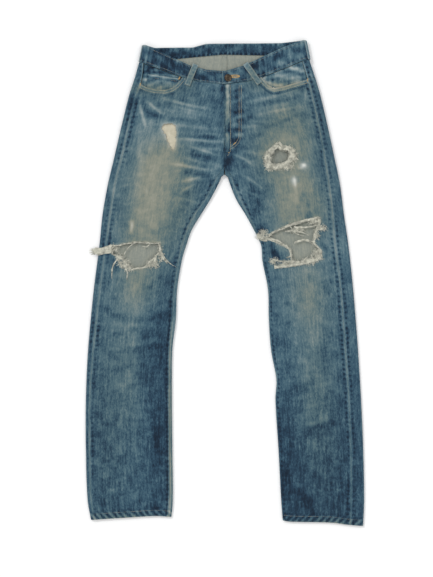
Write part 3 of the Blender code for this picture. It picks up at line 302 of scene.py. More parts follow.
def relief(x, y):
    """Height of the folds and creases at many places, and how much paler they make the cloth: worn crests
    and random tone, and painted shade in the valleys.
    """
    height = 0.22 * lumps(x, y, 26, 3) + 0.12 * lumps(x, y, 11, 4)
    wear = 0.06 * lumps(x, y, 34, 5) + 0.05 * lumps(x, y * 0.3, 12, 6) + 0.05 * lumps(x * 0.7, y, 15, 7)
    for c in CREASES:
        dx, dy = c.x1 - c.x0, c.y1 - c.y0
        t = np.clip(((x - c.x0) * dx + (y - c.y0) * dy) / (dx * dx + dy * dy), 0, 1)
        wander = c.width * 0.7 * np.sin(t * 5.3 + c.x0)
        across = np.hypot(x - c.x0 - t * dx, y - c.y0 - t * dy + wander * 0.5)
        fullness = 0.35 + 0.65 * np.sin(math.pi * np.clip(t, 0.03, 0.97))
        ridge = bell(across, 0, c.width * 0.85 + 0.9) * fullness
        height = height + c.height * ridge
        # crests grow paler with wear; valleys, whose value is negative, are darkened with painted shade
        wear = wear + 2.0 * c.wear * ridge
    return height, wear


def patchwork(patches, x, y):
    """The sum of soft patches at many places."""
    return sum(p.amount * bell(x, p.x, p.across) * bell(y, p.y, p.along) for p in patches)


def fading(x, y):
    """How pale the cloth of the front has worn, 0 for full indigo and 1 for the pale thighs, with two
    patches of painted shade.
    """
    return UNWORN_FADE + patchwork((*PATCHES, *WORN_DOTS), x, y)


class Leg:
    """One leg with its half of the seat.  toward is +1 where the middle lies at larger x."""

    def __init__(self, edge, inner, hem, toward):
        self.edge, self.inner_table, self.hem, self.toward = edge, inner, hem, toward
        self.middle = CENTRE_X - toward * SEAM_GAP / 2

    def outer(self, y):
        return along(self.edge, y, 1)

    def outseam(self, y):
        return along(self.edge, y, 2)

    def inner(self, y):
        return along(self.inner_table, y, 2)

    def inseam(self, y):
        return along(self.inner_table, y, 1)

    def reach(self, x, y, folded):
        """How far a place on top lies from where the side folds begin."""
        radius = straight(FOLD_RADIUS, y)
        reach = np.abs(x - self.outer(y)) - radius
        return np.where(folded, np.minimum(reach, np.abs(self.inner(y) - x) - radius), reach)

    def top(self, x, y, folded):
        """Level of the outer skin on top, with its folds."""
        radius = straight(FOLD_RADIUS, y)
        reach = self.reach(x, y, folded)
        share = smoothstep(reach / CROWN_REACH)
        fine = smoothstep((reach + 3) / 14) * straight(FOLD_SHARE, y)
        level = 2 * radius + share * (straight(UPPER_LEVEL, y) - 2 * radius)
        return straight(SEAT_LIFT, y) + level + fine * relief(x, y)[0]

    def run_of_outseam(self, y):
        return np.abs(self.outseam(y) - self.outer(y)) - straight(FOLD_RADIUS, y)

    def flat_run(self, y):
        return np.abs(self.inner(y) - self.outer(y)) - 2 * straight(FOLD_RADIUS, y)

    def inseam_gap(self, y):
        radius = straight(FOLD_RADIUS, y)
        on_fold = smoothstep((1.8 * radius - np.abs(self.inner(y) - self.inseam(y))) / radius)
        return (SEAM_GAP + on_fold * (FOLD_SEAM_GAP - SEAM_GAP)) / 2

    def run_of_inseam(self, y):
        """Run of the inseam, which lies on top or part of the way round the inner fold."""
        radius = straight(FOLD_RADIUS, y)
        depth = np.abs(self.inner(y) - self.inseam(y))
        turned = radius * np.arcsin(np.clip(1 - depth / radius, 0, 1))
        return self.flat_run(y) + np.where(depth < radius, turned, radius - depth)

    def on_ring(self, y, run, folded):
        """Places on the outer skin at a run in mm from the start of the flat top, towards the
        middle if positive and round the outer fold to the floor if negative."""
        radius, lift = straight(FOLD_RADIUS, y), straight(SEAT_LIFT, y)
        start = self.outer(y) + self.toward * radius
        end = self.inner(y) - self.toward * radius
        half_turn = math.pi * radius
        past = run - np.abs(end - start)
        outer_turn = np.clip(-run / radius, 0, math.pi)
        inner_turn = np.clip(past / radius, 0, math.pi)
        round_inner = folded & (past > 0)
        below_outer, below_inner = run < -half_turn, folded & (past > half_turn)
        x = start + self.toward * run
        x = np.where(run < 0, start - self.toward * radius * np.sin(outer_turn), x)
        x = np.where(below_outer, start + self.toward * (-run - half_turn), x)
        x = np.where(round_inner, end + self.toward * radius * np.sin(inner_turn), x)
        x = np.where(below_inner, end - self.toward * (past - half_turn), x)
        turn = np.where(run < 0, outer_turn, np.where(round_inner, inner_turn, 0))
        on_top = (run >= 0) & ~round_inner
        z = np.where(on_top, self.top(x, y, folded), lift + radius * (1 + np.cos(turn)))
        return x, z, on_top


RIGHT = Leg(RIGHT_EDGE, RIGHT_INNER, RIGHT_HEM, 1)
LEFT = Leg(LEFT_EDGE, LEFT_INNER, LEFT_HEM, -1)
LEG_ROWS = np.linspace(HEM_LEVEL, LAST_LEG_LEVEL, 1 + round((LAST_LEG_LEVEL - HEM_LEVEL) / GRID))
SEAT_STEPS = np.linspace(0, 1, 85)
YOKE_ROW = len(LEG_ROWS) + round(YOKE_STEP * (len(SEAT_STEPS) - 1))
ALL_ROWS = len(LEG_ROWS) + len(SEAT_STEPS)


def row_values(row):
    """For many rows: whether each is below the crotch, its level there, and its step above it."""
    below = row < len(LEG_ROWS)
    level = LEG_ROWS[np.clip(row, 0, len(LEG_ROWS) - 1)]
    step = SEAT_STEPS[np.clip(row - len(LEG_ROWS), 0, len(SEAT_STEPS) - 1)]
    return below, level, np.where(below, 0.0, step)


def row_level(leg, row, x, band_bottom, seam_point=0.0):
    """Level of many rows, each at one place across."""
    below, level, step = row_values(row)
    share = np.clip((HEM_SHIFT_FROM - level) / (HEM_SHIFT_FROM - HEM_LEVEL), 0, 1)
    shifted = level + smoothstep(share * 1.3) * (along(leg.hem, x) - HEM_LEVEL)
    top = straight(band_bottom, x) - BAND_SEAM_GAP
    dip = np.maximum(0, 1 - np.abs(step - YOKE_STEP) / 0.2) * np.maximum(0, 1 - np.abs(x) / 200)
    return np.where(below, shifted, NOTCH_LEVEL + step * (top - NOTCH_LEVEL) - seam_point * dip)


BEAD_PITCH = 11
RIDGE_WIDTH = 2.6
RAIL_AT, RAIL_WIDTH = 6.5, 3.0
FELL_AT, FELL_WIDTH = 5.0, 2.6


def seam_marks(leg, x, y, on_top, front):
    """Ridges, puckers and dark dots where the thick seam allowances lie under the cloth.  The dark dots
    lie in small hollows beside each seam: unworn indigo, darkened further with painted shade.
    """
    out = (x - leg.outseam(y)) * leg.toward
    inn = (leg.inseam(y) - x) * leg.toward
    beads = np.sin(y * 2 * math.pi / BEAD_PITCH + 1.3 * lumps(x * 0.2, y, 60, 8 + leg.toward))
    other = np.sin(y * 2 * math.pi / BEAD_PITCH + 2.2 + 1.5 * lumps(x * 0.2, y, 50, 18 + leg.toward))
    strong = 0.55 + 0.45 * lumps(x * 0, y, 130, 28 + leg.toward)
    ridge = bell(out, 0, RIDGE_WIDTH)
    rail_in = bell(out, RAIL_AT, RAIL_WIDTH) * (0.2 + 0.8 * np.maximum(0, beads)) * strong
    rail_out = bell(out, -RAIL_AT, RAIL_WIDTH) * (0.2 + 0.8 * np.maximum(0, other)) * strong
    # the rails are hollows; their darkening is painted shade on top of the unworn indigo
    wear = 0.42 * ridge - 0.95 * rail_in - 0.85 * rail_out
    height = 0.45 * ridge - 0.35 * rail_in - 0.3 * rail_out
    below_crotch = smoothstep((NOTCH_LEVEL - 2 - y) / 12)
    felled = bell(inn, FELL_AT, FELL_WIDTH) * (0.25 + 0.75 * np.maximum(0, beads))
    pale = bell(inn, 0, 2.4)
    wear = wear + below_crotch * (0.3 * pale - 0.72 * felled)
    height = height + below_crotch * (0.3 * pale - 0.35 * felled)
    if not front:
        wear = wear + 0.1 * below_crotch * (inn < 0)
    if leg is RIGHT:
        wear = wear + 0.5 * smoothstep((-60 - y) / 80) * smoothstep((FELL_AT - inn) / 3.0)
    return np.where(on_top, height, 0), np.where(on_top, wear, 0)


HEM_DEPTH, ROPE_PITCH, ROPE_SLANT = 16.5, 15, 0.9


def hem_marks(row, x, leg):
    """The roped hem: slanting pale ridges, a dark line of shadow above and a worn lower edge."""
    level = LEG_ROWS[np.clip(row, 0, len(LEG_ROWS) - 1)] - HEM_LEVEL
    in_hem = smoothstep((HEM_DEPTH - level) / 2.0) * (row < len(LEG_ROWS))
    slanted = (x * leg.toward + level * ROPE_SLANT) * 2 * math.pi / ROPE_PITCH
    rope = np.sin(slanted + 1.1 * lumps(x, level * 0, 45, 40))
    edge = bell(level, 0, 2.2) * in_hem
    step = bell(level, HEM_DEPTH + 1, 1.8) * (row < len(LEG_ROWS))
    height = in_hem * (0.8 + 0.3 * rope)
    return height, in_hem * (0.36 * rope - 0.04) + 0.34 * edge - 0.16 * step


def fly_lap(x, step):
    """How far the left front is raised where it laps over the right one."""
    return FLY_RISE * smoothstep((step - 0.1) / 0.25) * (1 - smoothstep((x - 26) / 40))


def front_places(leg, columns):
    """Columns by rows of a front panel: where each point is, its fade and its place on the cloth.
    Level and place across depend on each other, so both are found by repeating."""

    def place(i, j):
        below, level, step = row_values(j)
        y = np.where(below, level, NOTCH_LEVEL)
        for _ in range(SETTLING_ROUNDS):
            start = leg.run_of_outseam(y) + SEAM_GAP / 2
            radius = straight(FOLD_RADIUS, y)
            tongue = straight(TONGUE, step)
            middle = leg.middle - leg.toward * np.where(tongue > 0, tongue + SEAM_GAP / 2, 0)
            if leg is RIGHT:
                middle = middle + FLY_OVERLAP * smoothstep((step - 0.36) / 0.04)
            seat_end = np.abs(middle - leg.outer(y)) - radius
            end = np.where(below, leg.run_of_inseam(y) - leg.inseam_gap(y), seat_end)
            run = start + i / (columns - 1) * (end - start)
            x, z, on_top = leg.on_ring(y, run, below)
            y = row_level(leg, j, x, BAND_FRONT_BOTTOM)
        height, wear = relief(x, y)
        fine = smoothstep((leg.reach(x, y, below) + 3) / 14)
        seam_height, seam_wear_and_shade = seam_marks(leg, x, y, on_top, True)
        hem_height, hem_wear_and_shadow = hem_marks(j, x, leg)
        z = z + seam_height + hem_height
        if leg is LEFT:
            z = z + fly_lap(x, step)
        # the fade takes in wear and painted shade: crease valleys, seam hollows and the shadow line above
        # the hem
        fade = fading(x, y) + wear * fine + seam_wear_and_shade + hem_wear_and_shadow
        return np.stack((x, y, z), 1), fade, np.stack((run, y), 1)

    return place


def cloth_mesh(columns, rows, place, keep=None, flip=False):
    """A grid of cloth whose points are placed all at once.  The mesh keeps the fade of each point
    and its place on the flat cloth, for the weave."""
    bm = bmesh.new()
    bmesh.ops.create_grid(bm, x_segments=columns - 1, y_segments=rows - 1, size=1)
    bm.verts.ensure_lookup_table()
    flat = np.array([v.co for v in bm.verts])
    i = np.rint((flat[:, 0] + 1) / 2 * (columns - 1)).astype(int)
    j = np.rint((flat[:, 1] + 1) / 2 * (rows - 1)).astype(int)
    points, fades, spots = place(i, j)
    stains = patchwork(STAINS, points[:, 0], points[:, 1])
    fade_layer = bm.verts.layers.float.new("fade")
    stain_layer = bm.verts.layers.float.new("stain")
    weave = bm.loops.layers.uv.new("weave")
    for v, point, fade, stain in zip(bm.verts, points, fades, stains):
        v.co = Vector(point) * MM
        v[fade_layer] = fade
        v[stain_layer] = stain
    for face in bm.faces:
        for loop in face.loops:
            loop[weave].uv = Vector(spots[loop.vert.index]) * MM
    if keep is not None:
        cells = [(f, min(i[v.index] for v in f.verts), min(j[v.index] for v in f.verts)) for f in bm.faces]
        lost = [f for f, column, row in cells if not keep(column, row)]
        bmesh.ops.delete(bm, geom=lost, context="FACES")
    if flip:
        bmesh.ops.reverse_faces(bm, faces=bm.faces[:])
    return bm


def distance_to_outline(x, y, outline):
    """Distance to an outline of many places, the nearest place on it, and whether each is inside."""
    ring = np.array(outline, float)
    best, near_x, near_y = np.full_like(x, 1e9), x.copy(), y.copy()
    inside = np.zeros(len(x), bool)
    for (x0, y0), (x1, y1) in zip(ring, np.roll(ring, -1, axis=0)):
        dx, dy = x1 - x0, y1 - y0
        t = np.clip(((x - x0) * dx + (y - y0) * dy) / (dx * dx + dy * dy), 0, 1)
        px, py = x0 + t * dx, y0 + t * dy
        away = np.hypot(x - px, y - py)
        closer = away < best
        best = np.where(closer, away, best)
        near_x, near_y = np.where(closer, px, near_x), np.where(closer, py, near_y)
        crosses = (y0 > y) != (y1 > y)
        slope_x = x0 + (y - y0) / (dy if dy else 1e-9) * dx
        inside ^= crosses & (x < slope_x)
    return best, near_x, near_y, inside


UPPER_CLOTH_FROM = 3.4
RIM_REACH = 16


def open_up(bm, outline, ragged, rim_wear_and_shade):
    """Cuts an outline out of a panel.  Points near it move onto it, and its rim is worn pale; round a
    pocket mouth a band of painted shade lies below the pale hem.
    """
    bm.verts.ensure_lookup_table()
    fade_layer = bm.verts.layers.float["fade"]
    spots = np.array([v.co for v in bm.verts]) / MM
    upper = spots[:, 2] > UPPER_CLOTH_FROM
    away, near_x, near_y, inside = distance_to_outline(spots[:, 0], spots[:, 1], outline)
    rough = ragged * lumps(spots[:, 0], spots[:, 1], 7, 50)
    for k in np.nonzero(upper & (away < RIM_REACH))[0]:
        v = bm.verts[k]
        if away[k] < GRID * 0.55:
            v.co.x, v.co.y = (near_x[k] + rough[k]) * MM, (near_y[k] + rough[k] * 0.7) * MM
        rim = bell(away[k], 0, 3.0)
        if ragged:
            rim += 0.15 * bell(away[k], 0, 9)
        else:
            # round a pocket mouth: a pale worn hem, then a darker band of painted shade below it
            rim += 0.55 * bell(away[k], 6.5, 3.2) - 0.5 * bell(away[k], 13, 3.2)
        v[fade_layer] += rim_wear_and_shade * rim
    faces = [f for f in bm.faces if min(v.co.z for v in f.verts) > UPPER_CLOTH_FROM * MM]
    middles = np.array([f.calc_center_median() for f in faces]) / MM
    inside = distance_to_outline(middles[:, 0], middles[:, 1], outline)[3]
    bmesh.ops.delete(bm, geom=[f for f, gone in zip(faces, inside) if gone], context="FACES")


def srgb(red, green, blue):
    """A colour seen in the photo's terms, 0 to 255, as the linear values that Blender takes."""
    parts = [c / 255 for c in (red, green, blue)]
    return (*(c / 12.92 if c <= 0.04045 else ((c + 0.055) / 1.055) ** 2.4 for c in parts), 1)


BLUE_TONES = [Spot(*row) for row in (
    (-0.4, (18, 34, 50)), (-0.05, (32, 57, 77)), (0.2, (53, 83, 101)), (0.45, (79, 108, 120)),
    (0.7, (108, 130, 138)), (0.95, (138, 153, 156)), (1.25, (172, 181, 180)),
    (1.7, (214, 218, 214)),
)]
DENIM_COLOURS = [Spot(*row) for row in (
    (-0.4, (20, 36, 50)), (-0.05, (34, 58, 76)), (0.2, (58, 84, 95)), (0.45, (85, 107, 110)),
    (0.7, (111, 123, 117)), (0.95, (136, 139, 126)), (1.25, (157, 158, 147)),
    (1.7, (208, 203, 188)),
)]


def new_shader(name, roughness):
    made = bpy.data.materials.new(name)
    made.use_nodes = True
    nodes, links = made.node_tree.nodes, made.node_tree.links
    shader = nodes["Principled BSDF"]
    shader.inputs["Roughness"].default_value = roughness
    shader.inputs["Specular IOR Level"].default_value = 0.25
    return made, nodes, links, shader


def math_node(nodes, links, operation, first, second):
    node = nodes.new("ShaderNodeMath")
    node.operation = operation
    for socket, value in zip(node.inputs, (first, second)):
        if isinstance(value, (int, float)):
            socket.default_value = value
        else:
            links.new(value, socket)
    return node.outputs[0]


def object_noise(nodes, links, scale, detail=2.0):
    """Noise that is fixed to the piece."""
    coords = nodes.new("ShaderNodeTexCoord")
    noise = nodes.new("ShaderNodeTexNoise")
    noise.inputs["Scale"].default_value = scale
    noise.inputs["Detail"].default_value = detail
    links.new(coords.outputs["Object"], noise.inputs["Vector"])
    return noise.outputs["Fac"]


def two_tones(nodes, links, shader, value, dark, light, low=0.0, high=1.0):
    """Colours a piece from dark to light as a value goes from low to high."""
    ramp = nodes.new("ShaderNodeValToRGB")
    for stop, colour, position in zip(ramp.color_ramp.elements, (dark, light), (low, high)):
        stop.color, stop.position = srgb(*colour), position
    links.new(value, ramp.inputs["Fac"])
    links.new(ramp.outputs["Color"], shader.inputs["Base Color"])


def roughen(nodes, links, shader, height, strength, distance):
    bump = nodes.new("ShaderNodeBump")
    bump.inputs["Strength"].default_value = strength
    bump.inputs["Distance"].default_value = distance
    links.new(height, bump.inputs["Height"])
    links.new(bump.outputs["Normal"], shader.inputs["Normal"])


def place_on_cloth(nodes):
    uv = nodes.new("ShaderNodeUVMap")
    uv.uv_map = "weave"
    return uv.outputs[0]


def point_value(nodes, name):
    """A value that the mesh keeps for each of its points."""
    attribute = nodes.new("ShaderNodeAttribute")
    attribute.attribute_name = name
    return attribute.outputs["Fac"]


def weave_noise(nodes, links, coords, stretch, scale, detail, roughness=0.6):
    mapping = nodes.new("ShaderNodeMapping")
    mapping.inputs["Scale"].default_value = stretch
    links.new(coords, mapping.inputs["Vector"])
    noise = nodes.new("ShaderNodeTexNoise")
    noise.inputs["Scale"].default_value = scale
    noise.inputs["Detail"].default_value = detail
    noise.inputs["Roughness"].default_value = roughness
    links.new(mapping.outputs[0], noise.inputs["Vector"])
    return math_node(nodes, links, "SUBTRACT", noise.outputs["Fac"], 0.5)


def tone_ramp(nodes, links, value, colours, low, high):
    ramp = nodes.new("ShaderNodeValToRGB")
    while len(ramp.color_ramp.elements) < len(colours):
        ramp.color_ramp.elements.new(0.5)
    for stop, colour in zip(ramp.color_ramp.elements, colours):
        stop.position = (colour.at - low) / (high - low)
        stop.color = srgb(*colour.value)
    links.new(value, ramp.inputs["Fac"])
    return ramp.outputs["Color"]


def denim_material(name, colours, blue=None, fixed_fade=None):
    """Twill: a diagonal rib, slubs along the warp, and a colour that follows the fade."""
    made, nodes, links, shader = new_shader(name, 0.92)
    coords = place_on_cloth(nodes)
    twist = nodes.new("ShaderNodeMapping")
    twist.inputs["Rotation"].default_value = (0, 0, math.radians(28))
    links.new(coords, twist.inputs["Vector"])
    rib = nodes.new("ShaderNodeTexWave")
    rib.inputs["Scale"].default_value = 300
    rib.inputs["Distortion"].default_value = 1.2
    rib.inputs["Detail"].default_value = 1.0
    links.new(twist.outputs[0], rib.inputs["Vector"])
    rib_value = math_node(nodes, links, "SUBTRACT", rib.outputs["Fac"], 0.5)
    slub = weave_noise(nodes, links, coords, (1.0, 0.09, 1.0), 230, 4)
    speckle = weave_noise(nodes, links, coords, (1.0, 0.4, 1.0), 230, 4, 0.7)
    grain = weave_noise(nodes, links, coords, (1.0, 0.55, 1.0), 330, 3, 0.75)
    mottle = weave_noise(nodes, links, coords, (1.0, 0.7, 1.0), 40, 5, 0.65)
    fade = point_value(nodes, "fade") if fixed_fade is None else fixed_fade
    pattern = 0.0
    for value, amount in ((slub, 0.85), (speckle, 0.8), (grain, 0.9), (mottle, 0.7), (rib_value, 0.16)):
        part = math_node(nodes, links, "MULTIPLY", value, amount)
        pattern = math_node(nodes, links, "ADD", part, pattern)
    smoothed = math_node(nodes, links, "MULTIPLY", fade, -0.75)
    smoothed = math_node(nodes, links, "MAXIMUM", math_node(nodes, links, "ADD", smoothed, 1.2), 0.3)
    fade = math_node(nodes, links, "ADD", math_node(nodes, links, "MULTIPLY", pattern, smoothed), fade)
    low, high = colours[0].at, colours[-1].at
    spread = math_node(nodes, links, "DIVIDE", math_node(nodes, links, "SUBTRACT", fade, low), high - low)
    tones = [tone_ramp(nodes, links, spread, colours, low, high)]
    if blue is not None:
        tones.append(tone_ramp(nodes, links, spread, blue, low, high))
        mix = nodes.new("ShaderNodeMixRGB")
        links.new(point_value(nodes, "stain"), mix.inputs["Fac"])
        links.new(tones[1], mix.inputs["Color1"])
        links.new(tones[0], mix.inputs["Color2"])
        tones = [mix.outputs["Color"]]
    links.new(tones[0], shader.inputs["Base Color"])
    height = math_node(nodes, links, "ADD", math_node(nodes, links, "MULTIPLY", grain, 1.2), rib_value)
    roughen(nodes, links, shader, height, 0.5, 0.4 * MM)
    return made


INSIDE_COLOURS = [Spot(*row) for row in (
    (-0.4, (70, 84, 90)), (0.1, (96, 108, 110)), (0.4, (126, 133, 128)), (0.7, (144, 148, 138)),
    (1.0, (160, 160, 146)), (1.4, (186, 182, 164)),
)]
denim = denim_material("denim", DENIM_COLOURS, blue=BLUE_TONES)
denim_inside = denim_material("denim_inside", INSIDE_COLOURS, fixed_fade=0.6)


def new_object(name, data):
    made = bpy.data.objects.new(name, data)
    bpy.context.scene.collection.objects.link(made)
    return made


def mesh_object(name, bm, *materials):
    mesh = bpy.data.meshes.new(name)
    bm.to_mesh(mesh)
    bm.free()
    for material in materials:
        mesh.materials.append(material)
    return new_object(name, mesh)


def cloth_piece(name, bm, node, thickness, outside, inside, outward=False):
    """Gives a cloth mesh its thickness and finish, and hides the part it stands for."""
    piece = mesh_object(name, bm, outside, inside)
    piece.data.shade_smooth()
    wall = piece.modifiers.new("thickness", "SOLIDIFY")
    wall.thickness = thickness * MM
    wall.offset = 1 if outward else -1
    wall.material_offset = 1
    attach(piece, "root")
    if node:
        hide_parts(node)
    return piece


FRONT_COLUMNS = 82
RIGHT_OPENINGS = ((RIGHT_KNEE_RIP, 1.0, 0.4), (RIGHT_THIGH_WORN, 0.8, 0.4), (RIGHT_MOUTH, 0, 0.32))
LEFT_OPENINGS = ((LEFT_KNEE_RIP, 1.0, 0.4), (LEFT_THIGH_RIP, 1.0, 0.7), (LEFT_MOUTH, 0, 0.7))
for side, leg, openings, area in (
    ("right", RIGHT, RIGHT_OPENINGS, 0.182), ("left", LEFT, LEFT_OPENINGS, 0.173),
):
    panel = cloth_mesh(FRONT_COLUMNS, ALL_ROWS, front_places(leg, FRONT_COLUMNS), flip=leg is LEFT)
    for outline, ragged, rim_wear_and_shade in openings:
        open_up(panel, outline, ragged, rim_wear_and_shade)
    cloth_piece(
        f"front_panel_{side}", panel, f"front_{side}", DENIM, denim, denim_inside,
    )

# The back panels and the yokes
# The same denim.  Each back panel lies on the floor and wraps round both edges of its leg to meet
# the front on top.  The yoke above it shapes the seat and is joined by a felled, slanting seam.

STRIP_COLUMNS, ARC_COLUMNS = 11, 8
FLOOR_COLUMNS, INNER_COLUMNS = 44, 14
INNER_FROM = STRIP_COLUMNS + ARC_COLUMNS + FLOOR_COLUMNS
INNER_ARC_SHARE = 0.6
TONGUE_TOP_STEP = 0.088
BACK_TUCK = 3.5


def back_places(leg, first_row):
    """Columns from the outseam round the outer fold, along the floor and up to the inseam."""

    def place(i, j):
        row = j + first_row
        below, level, step = row_values(row)
        strip = i < STRIP_COLUMNS
        outer = ~strip & (i < STRIP_COLUMNS + ARC_COLUMNS)
        inner = (i >= INNER_FROM) & below
        tongue = (i > INNER_FROM) & ~below
        floor_part = ~strip & ~outer & ~inner & ~tongue
        share_strip = i / STRIP_COLUMNS
        share_outer = (i - STRIP_COLUMNS) / ARC_COLUMNS
        share_floor = np.clip((i - STRIP_COLUMNS - ARC_COLUMNS) / FLOOR_COLUMNS, 0, 1)
        share_inner = np.clip((i - INNER_FROM) / INNER_COLUMNS, 0, 1)
        y = np.where(below, level, NOTCH_LEVEL)
        for _ in range(SETTLING_ROUNDS):
            radius = straight(FOLD_RADIUS, y)
            half_turn = math.pi * radius
            floor_end = np.where(below, leg.inner(y) - leg.toward * radius, leg.middle)
            floor_length = np.abs(floor_end - leg.outer(y)) - radius
            bottom = leg.flat_run(y) + half_turn
            top = leg.run_of_inseam(y) + leg.inseam_gap(y)
            run = (leg.run_of_outseam(y) - SEAM_GAP / 2) * (1 - share_strip)
            run = np.where(outer, -half_turn * share_outer, run)
            run = np.where(floor_part, -half_turn - share_floor * floor_length, run)
            run = np.where(inner, bottom + share_inner * (top - bottom), run)
            x, z, on_top = leg.on_ring(y, run, below)
            turn = math.pi * (1 - np.clip(share_inner / INNER_ARC_SHARE, 0, 1))
            past = np.clip((share_inner - INNER_ARC_SHARE) / (1 - INNER_ARC_SHARE), 0, 1)
            tongue_width = np.maximum(straight(TONGUE, step) - SEAM_GAP / 2, 0.05)
            tongue_x = leg.middle - leg.toward * past * tongue_width
            lift = straight(SEAT_LIFT, y)
            tongue_top = leg.top(tongue_x, y, below)
            tongue_z = np.where(past > 0, tongue_top, lift + (tongue_top - lift) * (1 + np.cos(turn)) / 2)
            x, z = np.where(tongue, tongue_x, x), np.where(tongue, tongue_z, z)
            on_top = on_top | (tongue & (past > 0))
            front_level = row_level(leg, row, x, BAND_FRONT_BOTTOM, YOKE_POINT)
            back_level = row_level(leg, row, x, BAND_BACK_BOTTOM, YOKE_POINT)
            y = np.where(floor_part, back_level, front_level)
        y = y - SEAM_GAP * ((row == YOKE_ROW) & (first_row == 0))
        y = y + BACK_TUCK * floor_part * smoothstep((step - 0.96) / 0.04)
        seam_height, seam_wear_and_shade = seam_marks(leg, x, y, on_top & ~tongue, False)
        hem_height, hem_wear_and_shadow = hem_marks(row, x, leg)
        z = z + seam_height + np.where(on_top, hem_height, 0)
        worn = np.where(on_top, fading(x, y), 0.3 + 0.2 * bell(x, -leg.toward * 110, 60))
        # the seam and hem values bring painted shade along with their wear
        fade = worn - 0.04 + seam_wear_and_shade + hem_wear_and_shadow
        return np.stack((x, y, z), 1), fade, np.stack((run, y), 1)

    return place


def keep_back_cell(column, row):
    step = (row - len(LEG_ROWS)) / (len(SEAT_STEPS) - 1)
    if column < INNER_FROM or row < len(LEG_ROWS):
        return True
    return column >= INNER_FROM + INNER_COLUMNS * INNER_ARC_SHARE and step < TONGUE_TOP_STEP


for side, leg, area in (("right", RIGHT, 0.230), ("left", LEFT, 0.242)):
    panel = cloth_mesh(
        INNER_FROM + INNER_COLUMNS + 1, YOKE_ROW + 1, back_places(leg, 0),
        keep=keep_back_cell, flip=leg is RIGHT,
    )
    cloth_piece(
        f"back_panel_{side}", panel, f"back_{side}", DENIM, denim, denim_inside,
    )
    yoke = cloth_mesh(
        INNER_FROM + 1, ALL_ROWS - YOKE_ROW, back_places(leg, YOKE_ROW), flip=leg is RIGHT,
    )
    cloth_piece(
        f"yoke_cloth_{side}", yoke, f"yoke_{side}", DENIM, denim, denim_inside,
    )

# Inside the seat the two halves are felled together, which leaves a narrow raised strip
SEAT_SEAM_WIDTH, SEAT_SEAM_BOTTOM, SEAT_SEAM_TOP = 11.0, 400.0, 519.0
STRIP_CELLS, SEAT_SEAM_ROWS = 6, 45


def seat_seam_places(i, j):
    y = SEAT_SEAM_BOTTOM + (SEAT_SEAM_TOP - SEAT_SEAM_BOTTOM) * j / (SEAT_SEAM_ROWS - 1)
    x = CENTRE_X + (i / STRIP_CELLS - 0.5) * SEAT_SEAM_WIDTH
    bulge = np.sin(math.pi * i / STRIP_CELLS)
    z = straight(SEAT_LIFT, y) + DENIM + 0.25 + 0.5 * bulge
    return np.stack((x, y, z), 1), 0.3 + 0.5 * bulge, np.stack((x, y), 1)


seam = cloth_mesh(STRIP_CELLS + 1, SEAT_SEAM_ROWS, seat_seam_places)
cloth_piece(
    "seat_seam", seam, None, 0.6, denim_inside, denim_inside,
    outward=True,
)

# The waistband
# A folded strip of darker denim, little faded because a belt has covered it.  It encloses the top
# edges of the panels, is sewn along both edges, and its left end buttons over the right one.

BAND_CLOTH = 2.4
BAND_FRONT_TOP = [Spot(*row) for row in (
    (-187, 542), (-180, 542), (-80, 496), (-41, 486), (0, 483), (41, 495), (84, 515), (130, 536),
    (164, 549), (178, 553), (184, 553),
)]
BAND_BACK_TOP = [Spot(*row) for row in (
    (-187, 542), (-180, 542), (-160, 536), (-73, 537), (-43, 545), (52, 546), (130, 547),
    (171, 552), (184, 553),
)]
BAND_SIDE_RIGHT = [Spot(*row) for row in ((0, -195), (1, -187))]
BAND_SIDE_LEFT = [Spot(*row) for row in ((0, 193), (1, 184))]
BACK_BAND_RAISE, BACK_BAND_RAISE_REACH, FRONT_BAND_DIP = 6.0, 110.0, 5.0
BAND_RIGHT_END, BAND_LEFT_END = 25.0, -5.0
BAND_UNDERLAP_DROP, BAND_OVERLAP_RISE = 1.0, 2.7
BAND_LEVEL = 520.0


def band_level(bottom, top, x, up):
    low, high = straight(bottom, x), straight(top, x)
    return low + up * (high - low)


def band_fold_start(side, up):
    radius = straight(FOLD_RADIUS, BAND_LEVEL)
    if side == "right":
        return straight(BAND_SIDE_RIGHT, up) + radius, -1
    return straight(BAND_SIDE_LEFT, up) - radius, 1


def band_crown(leg, x):
    """Level of the band's lower edge in front, without the cloth's small creases."""
    y = straight(BAND_FRONT_BOTTOM, x)
    radius = straight(FOLD_RADIUS, y)
    share = smoothstep((np.abs(x - leg.outer(y)) - radius) / CROWN_REACH)
    return straight(SEAT_LIFT, y) + 2 * radius + share * (straight(UPPER_LEVEL, y) - 2 * radius)


def band_lap(leg, x):
    """How far the band's left end is raised, and its right end lowered, where they lap."""
    if leg is RIGHT:
        return -BAND_UNDERLAP_DROP * (1 - smoothstep((-x - 8) / 45))
    return BAND_OVERLAP_RISE * (1 - smoothstep((x - 30) / 45))


